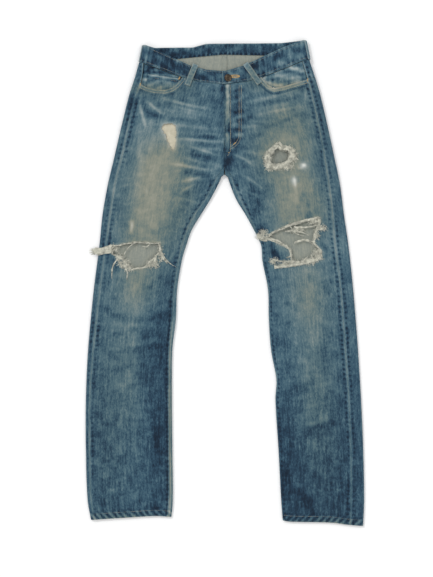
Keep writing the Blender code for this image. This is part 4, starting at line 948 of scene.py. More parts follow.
def band_point(branch, at, up):
    """Outer skin of the waistband.  at is a place across the lower edge or a share of a fold's
    turn, and up is 0 at the lower edge and 1 at the upper edge."""
    radius, lift = straight(FOLD_RADIUS, BAND_LEVEL), straight(SEAT_LIFT, BAND_LEVEL)
    right_start, left_start = band_fold_start("right", up)[0], band_fold_start("left", up)[0]
    if branch.startswith("fold"):
        start, outward = band_fold_start(branch[5:], up)
        turn = math.pi * at
        front_y = band_level(BAND_FRONT_BOTTOM, BAND_FRONT_TOP, start, up)
        back_y = band_level(BAND_BACK_BOTTOM, BAND_BACK_TOP, start, up)
        y = front_y + (back_y - front_y) * at
        return start + outward * radius * math.sin(turn), y, lift + radius * (1 + math.cos(turn))
    low_right, low_left = band_fold_start("right", 0)[0], band_fold_start("left", 0)[0]
    x = right_start + (at - low_right) / (low_left - low_right) * (left_start - right_start)
    if branch == "back":
        y = band_level(BAND_BACK_BOTTOM, BAND_BACK_TOP, x, up)
        reach = max(0.0, 1 - (x / BACK_BAND_RAISE_REACH) ** 2)
        return x, y, lift + BACK_BAND_RAISE * reach**2 * up**2
    leg = RIGHT if branch == "front_right" else LEFT
    y = band_level(BAND_FRONT_BOTTOM, BAND_FRONT_TOP, x, up)
    inside = smoothstep(min(x - right_start, left_start - x) / 120)
    return x, y, float(band_crown(leg, x) - FRONT_BAND_DIP * inside * up**2 + band_lap(leg, x))


def band_path():
    right_start, left_start = band_fold_start("right", 0)[0], band_fold_start("left", 0)[0]
    path = [("front_right", x) for x in np.arange(BAND_RIGHT_END, right_start + 1, -GRID)]
    path += [("fold_right", k / 8) for k in range(9)]
    path += [("back", x) for x in np.arange(right_start + GRID, left_start - 1, GRID)]
    path += [("fold_left", k / 8) for k in range(8, -1, -1)]
    path += [("front_left", x) for x in np.arange(left_start - GRID, BAND_LEFT_END, -GRID)]
    path += [("front_left", BAND_LEFT_END)]
    return path


BAND_PATH = band_path()
BAND_ROWS, BAND_ROW_STEP, PUCKER_PITCH = 17, 2.2, 10


def band_places(i, j):
    points, spots, outside = [], [], []
    for column, row in zip(i, j):
        branch, at = BAND_PATH[column]
        points.append(band_point(branch, at, row / (BAND_ROWS - 1)))
        spots.append((column * GRID, row * BAND_ROW_STEP))
        outside.append(branch.startswith("front"))
    points, spots, outside = np.array(points), np.array(spots), np.array(outside)
    up = j / (BAND_ROWS - 1)
    x = points[:, 0]
    pucker = np.sin(spots[:, 0] * 2 * math.pi / PUCKER_PITCH + 1.6 * lumps(x, x * 0, 50, 60))
    low, high = bell(up, 0.14, 0.08), bell(up, 0.88, 0.08)
    creased = lumps(x * 1.0, points[:, 1] * 0.6, 16, 61)
    height = -0.35 * (low + high) * (0.6 + 0.4 * pucker) + 0.22 * creased
    points[:, 2] += np.where(outside, height, 0)
    blotches = lumps(x * 1.0, points[:, 1] * 1.4, 30, 62)
    edges = 0.30 * bell(up, 0, 0.07) + 0.40 * bell(1 - up, 0, 0.06)
    fade = 0.08 + 0.20 * creased + 0.20 * blotches + edges
    fade = fade + 0.22 * smoothstep((x - 60) / 60) * outside * bell(up, 0.35, 0.4)
    fade = fade + 0.55 * smoothstep((np.abs(x + 2) - 168) / 14) * bell(1 - up, 0, 0.3)
    # painted light and shade of the puckers along the stitch rows: darker in the deep hollows, paler on
    # the shallow ones
    fade = fade - 0.34 * (low + 0.6 * high) * np.maximum(0, pucker)
    fade = fade + 0.24 * (low + high) * np.maximum(0, -pucker)
    fade = fade - 0.85 * ~outside * bell(up, 0.06, 0.1) * (0.5 + 0.5 * pucker)
    fade = fade - 0.3 * bell(x, -130, 20)
    near_loops = bell(np.abs(x + 6), 74, 30) * outside
    middle = bell(x, 20, 40) * outside
    fade = fade - 0.10 * near_loops + 0.22 * middle * bell(up, 0.3, 0.4)
    fade = fade + 0.5 * (np.abs(x - BAND_LEFT_END) < 1.6) * outside
    return points, fade, spots


band = cloth_mesh(len(BAND_PATH), BAND_ROWS, band_places, flip=True)
cloth_piece(
    "waistband_strip", band, "waistband", BAND_CLOTH, denim, denim,
)

# The front pockets
# A denim facing shows inside each curved mouth.  The small coin pocket is topstitched onto the
# right facing, its top corner held by a bar tack.  Through the worn thigh shows a cotton bag.

COIN_TOP_LEFT, COIN_TOP_RIGHT = (-176, 476), (-105, 466)
COIN_BOTTOM_LEFT, COIN_BOTTOM_RIGHT = (-180, 416), (-113, 398)
FACING_BOTTOM, FACING_TOP_GAP = 384.0, 1.0
RIGHT_FACING_INNER, LEFT_FACING_INNER = -84.0, 70.0
BAG_TOP, BAG_BOTTOM = 432.0, 286.0
BAG_OUTER, BAG_INNER = -206.0, -86.0
FACING_SINK = {"right": 1.75, "left": 0.4}
FACING_FADE = {"right": 0.36, "left": 0.56}
FACING_COLUMNS, FACING_ROWS = 48, 44
COIN_COLUMNS, COIN_ROWS, COIN_POINT = 30, 32, 10
BAG_COLUMNS, BAG_ROWS, BAG_TAPER = 50, 60, 18
POCKET_CLOTH = 1.0


def facing_places(leg, side, inner_x):
    def place(i, j):
        x = np.full(len(i), leg.outseam(430.0))
        y = x * 0
        for _ in range(SETTLING_ROUNDS):
            top = straight(BAND_FRONT_BOTTOM, x) - FACING_TOP_GAP
            y = FACING_BOTTOM + (top - FACING_BOTTOM) * j / (FACING_ROWS - 1)
            edge = leg.outseam(y) + leg.toward * SEAM_GAP
            x = edge + (inner_x - edge) * i / (FACING_COLUMNS - 1)
        z = leg.top(x, y, False) - DENIM - FACING_SINK[side]
        fold = 0.5 * lumps(x, y * 1.6, 34, 70 + leg.toward)
        # the large lumps paint light and shade of small folds across the facing
        fade = FACING_FADE[side] + 0.34 * lumps(x * 0.8, y * 2.2, 30, 72 + leg.toward)
        fade = fade + 0.16 * lumps(x, y, 9, 75)
        if leg is RIGHT:
            # painted shade: darker at the right mouth's inner end and at the top, under the waistband's
            # edge
            fade = fade - 0.45 * bell(x, -100, 12) - 0.3 * smoothstep((y - 472) / 8)
        return np.stack((x, y, z - 0.3 + fold * 0.4), 1), fade, np.stack((x, y), 1)

    return place


for side, leg, inner_x, area in (
    ("right", RIGHT, RIGHT_FACING_INNER, 0.0113), ("left", LEFT, LEFT_FACING_INNER, 0.0126),
):
    places = facing_places(leg, side, inner_x)
    facing = cloth_mesh(FACING_COLUMNS, FACING_ROWS, places, flip=leg is LEFT)
    cloth_piece(
        f"facing_cloth_{side}", facing, f"pocket_facing_{side}", POCKET_CLOTH, denim, denim_inside,
    )


def coin_places(i, j):
    across, up = i / (COIN_COLUMNS - 1), j / (COIN_ROWS - 1)
    low = between(COIN_BOTTOM_LEFT, COIN_BOTTOM_RIGHT, across)
    high = between(COIN_TOP_LEFT, COIN_TOP_RIGHT, across)
    x, y = between(low, high, up)
    y = y - COIN_POINT * (1 - np.abs(2 * across - 1)) * (1 - up)
    wave = lumps(x, y * 1.5, 26, 80)
    z = RIGHT.top(x, y, False) - DENIM - FACING_SINK["right"] + 0.35 + 0.25 * wave
    rim = bell(1 - up, 0, 0.05)
    stitch_line = bell(1 - up, 0.10, 0.035)
    fade = 0.44 + 0.28 * wave + 0.45 * rim - 0.4 * stitch_line
    return np.stack((x, y, z), 1), fade, np.stack((x, y), 1)


coin = cloth_mesh(COIN_COLUMNS, COIN_ROWS, coin_places)
cloth_piece(
    "coin_pocket_cloth", coin, "coin_pocket", POCKET_CLOTH, denim, denim_inside,
    outward=True,
)


def cotton_material():
    made, nodes, links, shader = new_shader("cotton", 0.95)
    coords = place_on_cloth(nodes)
    grain = weave_noise(nodes, links, coords, (1, 1, 1), 700, 3)
    mottle = weave_noise(nodes, links, coords, (1, 1, 1), 60, 3)
    value = math_node(nodes, links, "ADD", math_node(nodes, links, "MULTIPLY", grain, 0.7), mottle)
    shade = math_node(nodes, links, "ADD", value, 0.5)
    two_tones(nodes, links, shader, shade, (152, 146, 126), (214, 208, 188))
    roughen(nodes, links, shader, value, 0.4, 0.3 * MM)
    return made


cotton = cotton_material()


def bag_places(i, j):
    x = BAG_OUTER + (BAG_INNER - BAG_OUTER) * i / (BAG_COLUMNS - 1)
    y = BAG_BOTTOM + (BAG_TOP - BAG_BOTTOM) * j / (BAG_ROWS - 1)
    x = x + BAG_TAPER * (1 - smoothstep(j / 22)) * (1 - 2 * i / (BAG_COLUMNS - 1))
    x = np.maximum(x, RIGHT.outseam(y) + 2)
    sink = (FACING_SINK["right"] + POCKET_CLOTH + SEAM_GAP) * smoothstep((y - 350) / 26)
    z = RIGHT.top(x, y, False) - DENIM - 0.7 - sink
    return np.stack((x, y, z), 1), x * 0, np.stack((x, y), 1)


bag = cloth_mesh(BAG_COLUMNS, BAG_ROWS, bag_places)
cloth_piece(
    "pocket_bag_cloth", bag, "pocket_bag_right", POCKET_CLOTH, cotton, cotton,
)

# The fly's edge
# The left front is folded back along the fly and its edge has worn nearly white.  It is a narrow
# fold of the same denim, held by a row of topstitching.

FLY_EDGE_LEFT, FLY_EDGE_RIGHT = 1.0, 10.5
FLY_EDGE_BOTTOM, FLY_EDGE_ROWS = 298.0, 70


def skin_level(leg, x, y):
    """Level of the leg's upper skin, also over its tears and the lapped fly."""
    level = leg.top(x, y, y < LAST_LEG_LEVEL)
    if leg is LEFT:
        level = level + fly_lap(x, (y - NOTCH_LEVEL) / (FLY_TOP - NOTCH_LEVEL))
    return level


def fly_edge_places(i, j):
    top = FLY_TOP - 2 * SEAM_GAP - 0.4
    up = j / (FLY_EDGE_ROWS - 1)
    y = FLY_EDGE_BOTTOM + (top - FLY_EDGE_BOTTOM) * up
    x = FLY_EDGE_LEFT + (FLY_EDGE_RIGHT - FLY_EDGE_LEFT) * i / STRIP_CELLS + 0.7 * lumps(y * 0, y, 40, 90)
    bulge = np.sin(math.pi * i / STRIP_CELLS)
    z = skin_level(LEFT, x, y) + 0.05 + 0.55 * bulge + 0.2 * lumps(x, y, 12, 91) * bulge
    fade = 0.50 + 0.34 * bulge + 0.24 * lumps(x, y, 14, 92) - 0.55 * (1 - smoothstep((up - 0.08) / 0.16))
    fade = fade - 0.75 * bell(y, 351, 14)
    return np.stack((x, y, z), 1), fade, np.stack((x, y), 1)


fly = cloth_mesh(STRIP_CELLS + 1, FLY_EDGE_ROWS, fly_edge_places)
cloth_piece(
    "fly_fold", fly, "fly_edge", 0.8, denim, denim,
    outward=True,
)

# The belt loops
# Folded strips of denim, their edges and ends worn pale.  Each lies across the waistband from edge
# to edge: two in front, one on each side fold and one at the centre back.

LOOP_WIDTH, LOOP_CLOTH, LOOP_GAP = 13.0, 1.6, 0.4
FRONT_LOOPS = {"right": ((-67, 498), (-86, 450)), "left": ((46, 500), (79, 454))}
LOOP_COLUMNS, LOOP_ROWS = 9, 25


def band_front_level(side, x, y):
    """Level of the band's outer skin under a place in front, or of the panel below it."""
    leg = RIGHT if side == "right" else LEFT
    low, high = straight(BAND_FRONT_BOTTOM, x), straight(BAND_FRONT_TOP, x)
    up = np.clip((y - low) / (high - low), 0, 1)
    inside = smoothstep((186 - np.abs(x)) / 120)
    return band_crown(leg, x) - FRONT_BAND_DIP * inside * up**2 + band_lap(leg, x)


def loop_fade(across, up):
    edge = bell(across, 0, 0.16) + bell(1 - across, 0, 0.16)
    ends = bell(up, 0, 0.07) + bell(1 - up, 0, 0.07)
    return 0.52 + 0.34 * edge + 0.2 * ends


def front_loop_places(side):
    top, bottom = Vector(FRONT_LOOPS[side][0]), Vector(FRONT_LOOPS[side][1])
    across = Vector((top.y - bottom.y, bottom.x - top.x)).normalized() * LOOP_WIDTH / 2

    def place(i, j):
        share, side_share = j / (LOOP_ROWS - 1), i / (LOOP_COLUMNS - 1)
        x, y = between(bottom, top, share)
        x, y = x + across.x * (2 * side_share - 1), y + across.y * (2 * side_share - 1)
        near = [band_front_level(side, x + ex, y + ey) for ex in (-4, 0, 4) for ey in (-5, 0, 5)]
        under = np.maximum.reduce(near)
        roll = 0.35 * np.cos((side_share - 0.5) * math.pi)
        bulk = 0.9 * (bell(share, 0, 0.08) + bell(1 - share, 0, 0.08))
        z = under + LOOP_GAP + roll + bulk * 0.6
        fade = loop_fade(side_share, share) + 0.12 * lumps(x, y, 8, 95)
        return np.stack((x, y, z), 1), fade, np.stack((side_share * LOOP_WIDTH, share * 50), 1)

    return place


for side in ("right", "left"):
    loop = cloth_mesh(LOOP_COLUMNS, LOOP_ROWS, front_loop_places(side))
    cloth_piece(
        f"front_loop_{side}", loop, f"belt_loop_front_{side}", LOOP_CLOTH, denim, denim,
        outward=True,
    )


def off_band(branch, at, up, gap):
    """A place on the waistband's skin, moved out by a gap."""
    step = 0.01
    here = Vector(band_point(branch, at, up))
    along_band = Vector(band_point(branch, at + step, up)) - Vector(band_point(branch, at - step, up))
    up_band = Vector(band_point(branch, at, up + step)) - Vector(band_point(branch, at, up - step))
    normal = along_band.cross(up_band).normalized()
    outward = Vector((0, 0, -1))
    if branch.startswith("fold"):
        outward = Vector((band_fold_start(branch[5:], up)[1], 0, math.cos(math.pi * at)))
    return here + (normal if normal.dot(outward) > 0 else -normal) * gap


def band_loop_places(branch, first, last):
    def place(i, j):
        across, up = i / (LOOP_COLUMNS - 1), j / (LOOP_ROWS - 1)
        at = first + (last - first) * across
        points = [off_band(branch, a, 0.03 + 0.94 * u, LOOP_GAP) for a, u in zip(at, up)]
        return np.array(points), loop_fade(across, up), np.stack((across * LOOP_WIDTH, up * 40), 1)

    return place


for name, branch, first, last, area in (
    ("side_right", "fold_right", 0.32, 0.98, 0.00055), ("side_left", "fold_left", 0.10, 0.76, 0.00055),
    ("back", "back", CENTRE_X - LOOP_WIDTH / 2, CENTRE_X + LOOP_WIDTH / 2, 0.0003),
):
    loop = cloth_mesh(
        LOOP_COLUMNS, LOOP_ROWS, band_loop_places(branch, first, last), flip=name != "side_left",
    )
    cloth_piece(
        f"{name}_loop", loop, f"belt_loop_{name}", LOOP_CLOTH, denim, denim,
        outward=True,
    )

# The back pockets
# Two patch pockets of the same denim, sewn flat on the seat with a pointed lower edge.  The jeans
# lie on them.

BACK_POCKET = ((-28, 424), (-167, 430), (-155, 298), (-94, 274), (-37, 294))
POCKET_HEM, POCKET_THICKNESS = 9.0, 0.9

for side, mirror in (("right", 1), ("left", -1)):
    bm = bmesh.new()
    corners = [bm.verts.new((mirror * x * MM, y * MM, POCKET_THICKNESS * MM)) for x, y in BACK_POCKET]
    face = bm.faces.new(corners)
    bmesh.ops.recalc_face_normals(bm, faces=[face])
    if face.normal.z > 0:
        face.normal_flip()
    bmesh.ops.inset_region(bm, faces=[face], thickness=POCKET_HEM * MM, depth=0)
    bmesh.ops.subdivide_edges(bm, edges=bm.edges[:], cuts=5, use_grid_fill=True)
    fade_layer = bm.verts.layers.float.new("fade")
    weave = bm.loops.layers.uv.new("weave")
    for v in bm.verts:
        v[fade_layer] = 0.42 + float(0.12 * lumps(v.co.x / MM, v.co.y / MM, 40, 99))
    for f in bm.faces:
        for loop in f.loops:
            loop[weave].uv = loop.vert.co.xy
    cloth_piece(
        f"seat_pocket_{side}", bm, f"back_pocket_{side}", POCKET_THICKNESS, denim, denim,
        outward=True,
    )

# The waist button
# A cast metal button, dark and blotchy with age.  Its raised rim stands round a sunk channel and a
# low dome in the middle.

BUTTON_AT, BUTTON_RADIUS = (7.0, 467.0), 8.5
FOOT_SHARE, RIM_SHARE, RIM_RISE = 0.86, 1.16, 0.9
BUTTON_STEPS = ((0.25, 1.2), (0.9, 0.35), (0.7, -0.55), (1.6, -0.1), (0.5, 0.35), (1.6, 0.3))


def metal_material():
    made, nodes, links, shader = new_shader("aged_metal", 0.42)
    shader.inputs["Metallic"].default_value = 0.75
    tarnish = object_noise(nodes, links, 380, 4)
    two_tones(nodes, links, shader, tarnish, (30, 28, 28), (112, 98, 80), 0.35, 0.8)
    roughen(nodes, links, shader, tarnish, 0.3, 0.2 * MM)
    return made


bm = bmesh.new()
bmesh.ops.create_circle(bm, cap_ends=True, segments=48, radius=BUTTON_RADIUS * FOOT_SHARE * MM)
raised = bmesh.ops.extrude_face_region(bm, geom=bm.faces[:])["geom"]
cap = [g for g in raised if isinstance(g, bmesh.types.BMFace)]
ring = list({v for f in cap for v in f.verts})
bmesh.ops.scale(bm, verts=ring, vec=(RIM_SHARE, RIM_SHARE, 1))
bmesh.ops.translate(bm, verts=ring, vec=(0, 0, RIM_RISE * MM))
for inset, rise in BUTTON_STEPS:
    bmesh.ops.inset_region(bm, faces=cap, thickness=inset * MM, depth=0)
    bmesh.ops.translate(bm, verts=list({v for f in cap for v in f.verts}), vec=(0, 0, rise * MM))
bmesh.ops.recalc_face_normals(bm, faces=bm.faces[:])
button_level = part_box("waist_button")[0][2] / MM
bmesh.ops.translate(bm, verts=bm.verts[:], vec=Vector((*BUTTON_AT, button_level + 0.5)) * MM)
button = mesh_object("waist_button_cap", bm, metal_material())
button.data.shade_smooth()
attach(button, "root")
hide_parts("waist_button")

# Frayed yarns
# Where the denim has torn, the blue warp has fallen out and the undyed weft hangs loose, matted
# into rolls along the edges and pulled out in locks and single threads.

Strand = namedtuple("Strand", "x0 y0 x1 y1 bow radius")
RIGHT_KNEE_STRANDS = [Strand(*row) for row in (
    (-205, 93, -234, 52, -6, 1.1), (-240, 60, -257, 12, -7, 1.2), (-226, 36, -225, 4, 3, 1.0),
    (-222, 40, -240, 46, 3, 1.6), (-148, 82, -132, 46, -4, 2.0), (-146, 74, -111, 36, -5, 0.9),
    (-157, 63, -172, 40, 4, 2.2), (-170, 88, -190, 84, 3, 0.9), (-258, 86, -303, 78, 3, 1.9),
    (-259, 83, -306, 74, 2, 2.0), (-259, 79, -306, 70, 1, 2.0), (-259, 75, -303, 66, 0, 1.9),
    (-259, 71, -290, 64, -1, 1.7),
)]
LEFT_THIGH_STRANDS = [Strand(*row) for row in (
    (146, 292, 139, 276, 3, 1.2), (149, 288, 163, 283, 1, 0.9), (150, 288, 168, 281, 1, 1.2),
    (104, 300, 121, 320, 1, 2.4), (121, 320, 138, 304, 1, 2.2), (108, 268, 128, 262, -4, 1.6),
    (128, 262, 146, 268, 4, 1.6),
)]
LEFT_KNEE_STRANDS = [Strand(*row) for row in (
    (146, 131, 208, 143, 4, 1.1), (148, 129, 178, 108, -5, 1.2), (160, 92, 201, 88, 8, 1.2),
    (207, 122, 231, 129, -2, 1.4), (150, 72, 140, 58, 5, 1.6), (152, 50, 100, 58, 4, 1.3),
    (172, 48, 120, 44, 3, 1.3), (202, 56, 196, 66, 2, 1.5), (97, 104, 74, 112, 2, 1.6),
    (96, 100, 75, 106, 1, 1.6), (96, 97, 79, 100, 1, 1.5), (100, 106, 114, 119, 2, 1.4),
    (137, 128, 214, 149, 3, 1.7), (157, 128, 212, 133, -3, 1.6), (112, 37, 219, 55, -3, 2.4),
    (91, 103, 137, 87, 4, 1.7), (137, 87, 150, 55, 5, 1.7), (158, 92, 205, 92, 7, 1.6),
    (137, 118, 190, 110, 4, 1.2), (214, 146, 204, 112, 4, 1.6),
)]
YARN_GAP, YARN_LIFT = 0.35, 0.3


def yarn_material():
    made, nodes, links, shader = new_shader("loose_yarn", 1.0)
    soiling = object_noise(nodes, links, 140, 4)
    two_tones(nodes, links, shader, soiling, (149, 150, 140), (213, 212, 198), 0.3, 0.62)
    return made


yarn = yarn_material()


def lay_yarns(curve, leg, yarns):
    """Lays yarns on a leg.  Each is a list of places (x, y, lift), a radius and how thin its end is."""
    spots = np.array([place for places, _, _ in yarns for place in places])
    spots[:, 2] += skin_level(leg, spots[:, 0], spots[:, 1]) + YARN_GAP
    spots *= MM
    first = 0
    for places, radius, tip in yarns:
        line = curve.splines.new("POLY")
        line.points.add(len(places) - 1)
        for k, spot in enumerate(line.points):
            spot.co = (*spots[first + k], 1)
            spot.radius = radius * (1 - (1 - tip) * k / len(places)) * MM
        first += len(places)


def rolled_rim(ring, middle, draw, rolls, spread):
    """Yarns that run round a tear, matted into a rim."""
    yarns = []
    for _ in range(rolls):
        reach, phase = draw.uniform(-0.9, spread), draw.uniform(0, 6)
        places = []
        for k, (x, y) in enumerate(ring):
            away = math.hypot(x - middle[0], y - middle[1])
            side = reach + 1.3 * math.sin(k * 0.45 + phase) + draw.uniform(-0.6, 0.6)
            px, py = x + (x - middle[0]) / away * side, y + (y - middle[1]) / away * side
            places.append((px, py, YARN_LIFT + 0.9 * abs(math.sin(k * 0.7 + phase))))
        start = draw.randrange(len(places))
        places = places[start:] + places[:start]
        while len(places) > 8:
            length = draw.randrange(8, 34)
            yarns.append((places[:length], draw.uniform(0.34, 0.62), 0.7))
            places = places[max(4, length - draw.randrange(1, 8)):]
    return yarns


def short_fringe(ring, middle, draw, density):
    """Cut ends of the weft that stick out round a tear."""
    yarns = []
    for x, y in ring:
        for _ in range(density):
            inward = -1 if draw.random() < 0.62 else 1
            angle = math.atan2(inward * (y - middle[1]), inward * (x - middle[0])) + draw.gauss(0, 0.7)
            length = draw.uniform(1.2, 4.2) if draw.random() < 0.9 else draw.uniform(5, 11)
            bend = draw.gauss(0, 0.5)
            px, py, lift = x + draw.uniform(-1.2, 1.2), y + draw.uniform(-1.2, 1.2), draw.uniform(0, 0.8)
            places = [(px, py, lift)]
            for k in range(4):
                px += math.cos(angle + bend * k) * length / 4
                py += math.sin(angle + bend * k) * length / 4
                places.append((px, py, lift + draw.uniform(-0.2, 0.5) * (k + 1) / 2))
            yarns.append((places, draw.uniform(0.24, 0.46), 0.4))
    return yarns


def hanging_lock(strand, draw):
    """A lock of yarns pulled out of the weft, tapering to its loose end."""
    dx, dy = strand.x1 - strand.x0, strand.y1 - strand.y0
    length = math.hypot(dx, dy)
    yarns = []
    for _ in range(max(4, round(strand.radius**2 * 7))):
        spread, phase = draw.gauss(0, strand.radius * 0.62), draw.uniform(0, 6)
        reach, lift = draw.uniform(0.7, 1.08), draw.uniform(0, strand.radius * 1.3)
        steps = max(6, round(length / 3))
        places = []
        for k in range(steps + 1):
            t = reach * k / steps
            wave = strand.bow * math.sin(math.pi * min(t, 1)) + spread * (1 - 0.4 * t)
            wave += 0.6 * math.sin(k * 0.9 + phase)
            px, py = strand.x0 + dx * t - dy / length * wave, strand.y0 + dy * t + dx / length * wave
            places.append((px, py, YARN_LIFT + lift * (1 - 0.6 * t)))
        yarns.append((places, draw.uniform(0.3, 0.52), 0.5))
    return yarns


def matted_tangle(tangle, draw):
    """A ball of fluff: short curled yarns in a heap."""
    yarns = []
    for _ in range(tangle.count):
        turn, away = draw.uniform(0, 2 * math.pi), math.sqrt(draw.random())
        x = tangle.x + tangle.across * away * math.cos(turn)
        y = tangle.y + tangle.along * away * math.sin(turn)
        heading, curl = draw.uniform(0, 2 * math.pi), draw.uniform(-0.8, 0.8)
        lift = (1 - away) * 1.6 + draw.uniform(0, 0.6)
        places = []
        for k in range(6):
            places.append((x, y, lift + 0.3 * math.sin(k + turn)))
            x += 1.5 * math.cos(heading + curl * k)
            y += 1.5 * math.sin(heading + curl * k)
        yarns.append((places, draw.uniform(0.3, 0.5), 0.5))
    return yarns


def yarn_curve(name, material, roundness):
    """A curve for yarns or stitches.  Its bevel is 1, so its points' radii are in metres."""
    curve = bpy.data.curves.new(name, "CURVE")
    curve.dimensions = "3D"
    curve.bevel_depth = 1
    curve.bevel_resolution = roundness
    curve.use_fill_caps = True
    curve.materials.append(material)
    return curve


def frayed_tear(name, node, leg, outline, strands, tangles, draw, rolls, spread, fringe):
    ring = []
    for (x0, y0), (x1, y1) in zip(outline, outline[1:] + outline[:1]):
        steps = max(1, round(math.hypot(x1 - x0, y1 - y0) / 2.2))
        ring += [between((x0, y0), (x1, y1), k / steps) for k in range(steps)]
    middle = (sum(x for x, _ in outline) / len(outline), sum(y for _, y in outline) / len(outline))
    yarns = rolled_rim(ring, middle, draw, rolls, spread) + short_fringe(ring, middle, draw, fringe)
    for strand in strands:
        yarns += hanging_lock(strand, draw)
    for tangle in tangles:
        yarns += matted_tangle(tangle, draw)
    curve = yarn_curve(name, yarn, 0)
    lay_yarns(curve, leg, yarns)
    piece = new_object(name, curve)
    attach(piece, "root")
    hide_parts(node)
    return piece


Tangle = namedtuple("Tangle", "x y across along count")
RIGHT_KNEE_TANGLES = [Tangle(*row) for row in (
    (-232, 46, 12, 12, 90), (-222, 36, 9, 8, 60), (-164, 44, 13, 9, 110), (-146, 66, 5, 16, 60),
    (-292, 73, 10, 5, 60), (-250, 80, 8, 5, 36), (-242, 60, 6, 10, 40),
)]
LEFT_THIGH_TANGLES = [Tangle(*row) for row in (
    (95, 280, 8, 13, 120), (155, 290, 7, 15, 120), (140, 265, 15, 6, 110), (103, 298, 6, 6, 50),
    (110, 263, 16, 6, 110), (144, 306, 9, 5, 60),
)]
LEFT_KNEE_TANGLES = [Tangle(*row) for row in (
    (84, 106, 13, 8, 110), (90, 117, 8, 3, 30), (209, 66, 9, 10, 120), (192, 50, 18, 6, 120),
    (150, 46, 22, 5, 120), (112, 50, 11, 5, 60), (164, 122, 16, 5, 70), (200, 140, 12, 6, 70),
    (222, 126, 9, 5, 50), (208, 112, 5, 12, 50),
)]

draw = random.Random(11)
frayed_tear(
    "frayed_knee_right", "fray_knee_right", RIGHT, RIGHT_KNEE_RIP, RIGHT_KNEE_STRANDS, RIGHT_KNEE_TANGLES,
    draw, rolls=5, spread=2.6, fringe=2,
)
frayed_tear(
    "frayed_thigh_left", "fray_thigh_left", LEFT, LEFT_THIGH_RIP, LEFT_THIGH_STRANDS, LEFT_THIGH_TANGLES,
    draw, rolls=16, spread=9.0, fringe=3,
)
frayed_tear(
    "frayed_knee_left", "fray_knee_left", LEFT, LEFT_KNEE_RIP, LEFT_KNEE_STRANDS, LEFT_KNEE_TANGLES,
    draw, rolls=5, spread=2.6, fringe=2,
)

# Stitching
# Rows of thick cotton thread, once beige and now greyed, along the pocket mouths, the fly, the
# waistband, the hems and the coin pocket.  Bar tacks of packed thread hold the corners, and the
# buttonhole beside the button is bound with the same beige thread.

THREAD_RADIUS, STITCH_LENGTH, STITCH_STEP = 0.42, 2.5, 3.4


def thread_material(name, dark, light):
    made, nodes, links, shader = new_shader(name, 0.85)
    two_tones(nodes, links, shader, object_noise(nodes, links, 90), dark, light, 0.35, 0.65)
    return made


def resample(points, step):
    """Even places along a line of points, with the direction there."""
    points = [Vector(p) for p in points]
    spots, left = [], 0.0
    for here, after in zip(points, points[1:]):
        side = after - here
        at = left
        while at < side.length:
            spots.append((here + side * at / side.length, side.normalized()))
            at += step
        left = at - side.length
    return spots


def new_thread(name, material):
    """A curve whose every line is one stitch of round thread."""
    curve = yarn_curve(name, material, 1)
    piece = new_object(name, curve)
    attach(piece, "root")
    return curve


def add_stitch(curve, spot, direction, length, radius):
    """One stitch, which dips into the cloth at both ends."""
    half = direction.normalized() * length / 2
    line = curve.splines.new("POLY")
    line.points.add(3)
    for point, (share, rise, size) in zip(
        line.points, ((-1, -0.8, 0.7), (-0.5, 0.1, 1), (0.5, 0.1, 1), (1, -0.8, 0.7)),
    ):
        point.co = (*((spot + half * share + Vector((0, 0, rise * radius))) * MM), 1)
        point.radius = radius * size * MM


def drape(leg, line, lift=0.15):
    """A line of places in the plane, laid on a leg's upper skin."""
    x, y = np.array(line, float).T
    return np.stack((x, y, skin_level(leg, x, y) + lift), 1)


def stitch_row(curve, line):
    for spot, direction in resample(line, STITCH_STEP):
        add_stitch(curve, spot, direction, STITCH_LENGTH, THREAD_RADIUS)


def fine_line(points, step=4):
    """A line of points in the plane, with more points between, so that it can be draped."""
    return [tuple(spot)[:2] for spot, _ in resample([(x, y, 0) for x, y in points], step)] + [points[-1]]


def moved(points, by):
    """A line moved sideways, to its right."""
    out = []
    for k, (x, y) in enumerate(points):
        (x0, y0), (x1, y1) = points[max(k - 1, 0)], points[min(k + 1, len(points) - 1)]
        length = math.hypot(x1 - x0, y1 - y0)
        out.append((x + (y1 - y0) / length * by, y - (x1 - x0) / length * by))
    return out


COIN_STITCH_LIFT, COIN_SLOPE = 0.9 - DENIM - FACING_SINK["right"], 0.141
greyed = thread_material("greyed_thread", (134, 134, 120), (190, 180, 152))
faded_thread = thread_material("faded_thread", (84, 102, 110), (150, 154, 146))
beige = thread_material("beige_thread", (150, 128, 92), (196, 168, 122))

pocket_thread = new_thread("pocket_stitching", greyed)
right_mouth = fine_line(RIGHT_MOUTH[2:10])
left_mouth = fine_line(LEFT_MOUTH[1:9])
for leg, mouth in ((RIGHT, right_mouth), (LEFT, left_mouth)):
    for inset in (2.2, 7.8):
        stitch_row(pocket_thread, drape(leg, moved(mouth, inset)))
for inset in (2.0, 7.0):
    runs = [4 + 2.2 * k for k in range(29)]
    across = [(COIN_TOP_LEFT[0] + run, COIN_TOP_LEFT[1] - inset - COIN_SLOPE * run) for run in runs]
    stitch_row(pocket_thread, drape(RIGHT, across, COIN_STITCH_LIFT))

FLY_STITCH = ((37, 449), (37, 345), (36, 330), (30, 318), (20, 309), (9, 303))
fly_thread = new_thread("fly_stitching", greyed)
j_row = fine_line(FLY_STITCH)
edge_row = fine_line(((12.5, 449), (12.5, 300), (6, 290)))
for line in (j_row, moved(j_row, 5), edge_row):
    stitch_row(fly_thread, drape(LEFT, line))

band_thread = new_thread("waistband_stitching", faded_thread)
for up in (0.1, 0.9):
    line = [off_band(branch, at, up, 0.1) for branch, at in BAND_PATH]
    stitch_row(band_thread, line)

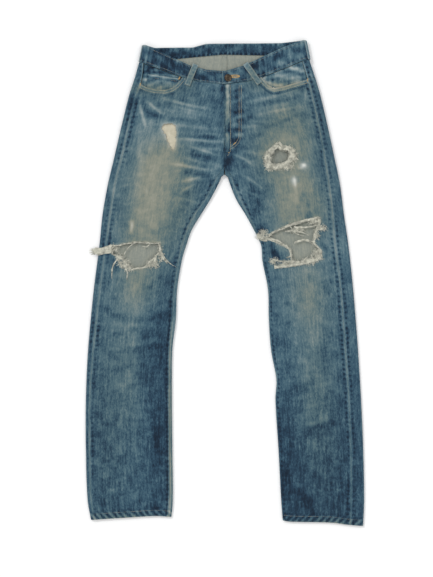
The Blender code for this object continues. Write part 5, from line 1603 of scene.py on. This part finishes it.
hem_thread = new_thread("hem_stitching", faded_thread)
for leg in (RIGHT, LEFT):
    ends = leg.outer(HEM_LEVEL) + leg.toward * 4, leg.inner(HEM_LEVEL) - leg.toward * 4
    first, last = sorted(float(end) for end in ends)
    row = [(x, float(along(leg.hem, x)) + 13.0) for x in np.arange(first, last, 4)]
    stitch_row(hem_thread, drape(leg, row, 1.05))

BUTTONHOLE = Vector((22.5, 470.5))
HOLE_REACH, HOLE_WIDTH, HOLE_STITCHES = 9.5, 2.4, 34
TACK_STITCHES = 9
TACKS = ((-104, 466.5, 62, 6), (188, 462.5, 80, 7), (-193, 452, 80, 6), (22, 318, 40, 7), (8, 300, 90, 6))
tack_thread = new_thread("tacks_and_buttonhole", beige)
for k in range(HOLE_STITCHES):
    turn = 2 * math.pi * k / HOLE_STITCHES
    spot = BUTTONHOLE + Vector((HOLE_REACH * math.cos(turn), HOLE_WIDTH * math.sin(turn)))
    level = float(band_front_level("left", spot.x, spot.y))
    way = Vector((math.cos(turn) * 0.4, math.sin(turn), 0))
    add_stitch(tack_thread, Vector((spot.x, spot.y, level + 0.3)), way, 3.4, 0.7)
for x, y, angle, length in TACKS:
    leg = LEFT if x > 0 else RIGHT
    way = Vector((math.cos(math.radians(angle)), math.sin(math.radians(angle)), 0))
    across = Vector((-way.y, way.x, 0))
    centre = Vector(drape(leg, [(x, y)], 0.25)[0])
    for k in range(TACK_STITCHES):
        at = centre + way * ((k / (TACK_STITCHES - 1) - 0.5) * length)
        add_stitch(tack_thread, at, across, 2.6, THREAD_RADIUS)

# Floor, light and camera
# A plain white floor, as seen from straight above, under even light with a soft slant from the
# upper left.  The camera is far off with a long lens, so the flat jeans keep their shape.

PIXEL = 2.28 * MM
CAMERA_HEIGHT = 5.0
FRAME_HEIGHT = 577
FRAME_CENTRE = (-19.4 * MM, -12.0 * MM)

bm = bmesh.new()
bmesh.ops.create_grid(bm, x_segments=1, y_segments=1, size=6)
floor_material, nodes, links, shader = new_shader("floor_white", 0.9)
shader.inputs["Base Color"].default_value = (0.93, 0.93, 0.93, 1)
floor = mesh_object("floor", bm, floor_material)
floor.location.z = -0.2 * MM

world = bpy.data.worlds.new("studio")
world.use_nodes = True
world.node_tree.nodes["Background"].inputs["Color"].default_value = (1, 1, 1, 1)
world.node_tree.nodes["Background"].inputs["Strength"].default_value = 0.80
bpy.context.scene.world = world

for name, energy, angle, turn in (("slant_light", 1.0, 44, 140), ("fill_light", 0.4, 24, -30)):
    light = bpy.data.lights.new(name, "SUN")
    light.energy = energy
    light.angle = math.radians(12)
    lamp = new_object(name, light)
    lamp.rotation_euler = (math.radians(angle), 0, math.radians(turn + 90))

camera_data = bpy.data.cameras.new("camera")
camera_data.sensor_fit = "VERTICAL"
camera_data.sensor_height = 24
camera_data.lens = 24 * CAMERA_HEIGHT / (FRAME_HEIGHT * PIXEL)
camera_data.clip_end = 50
camera = new_object("camera", camera_data)
camera.location = (*FRAME_CENTRE, CAMERA_HEIGHT)
bpy.context.scene.camera = camera
bpy.context.scene.view_settings.view_transform = "Standard"
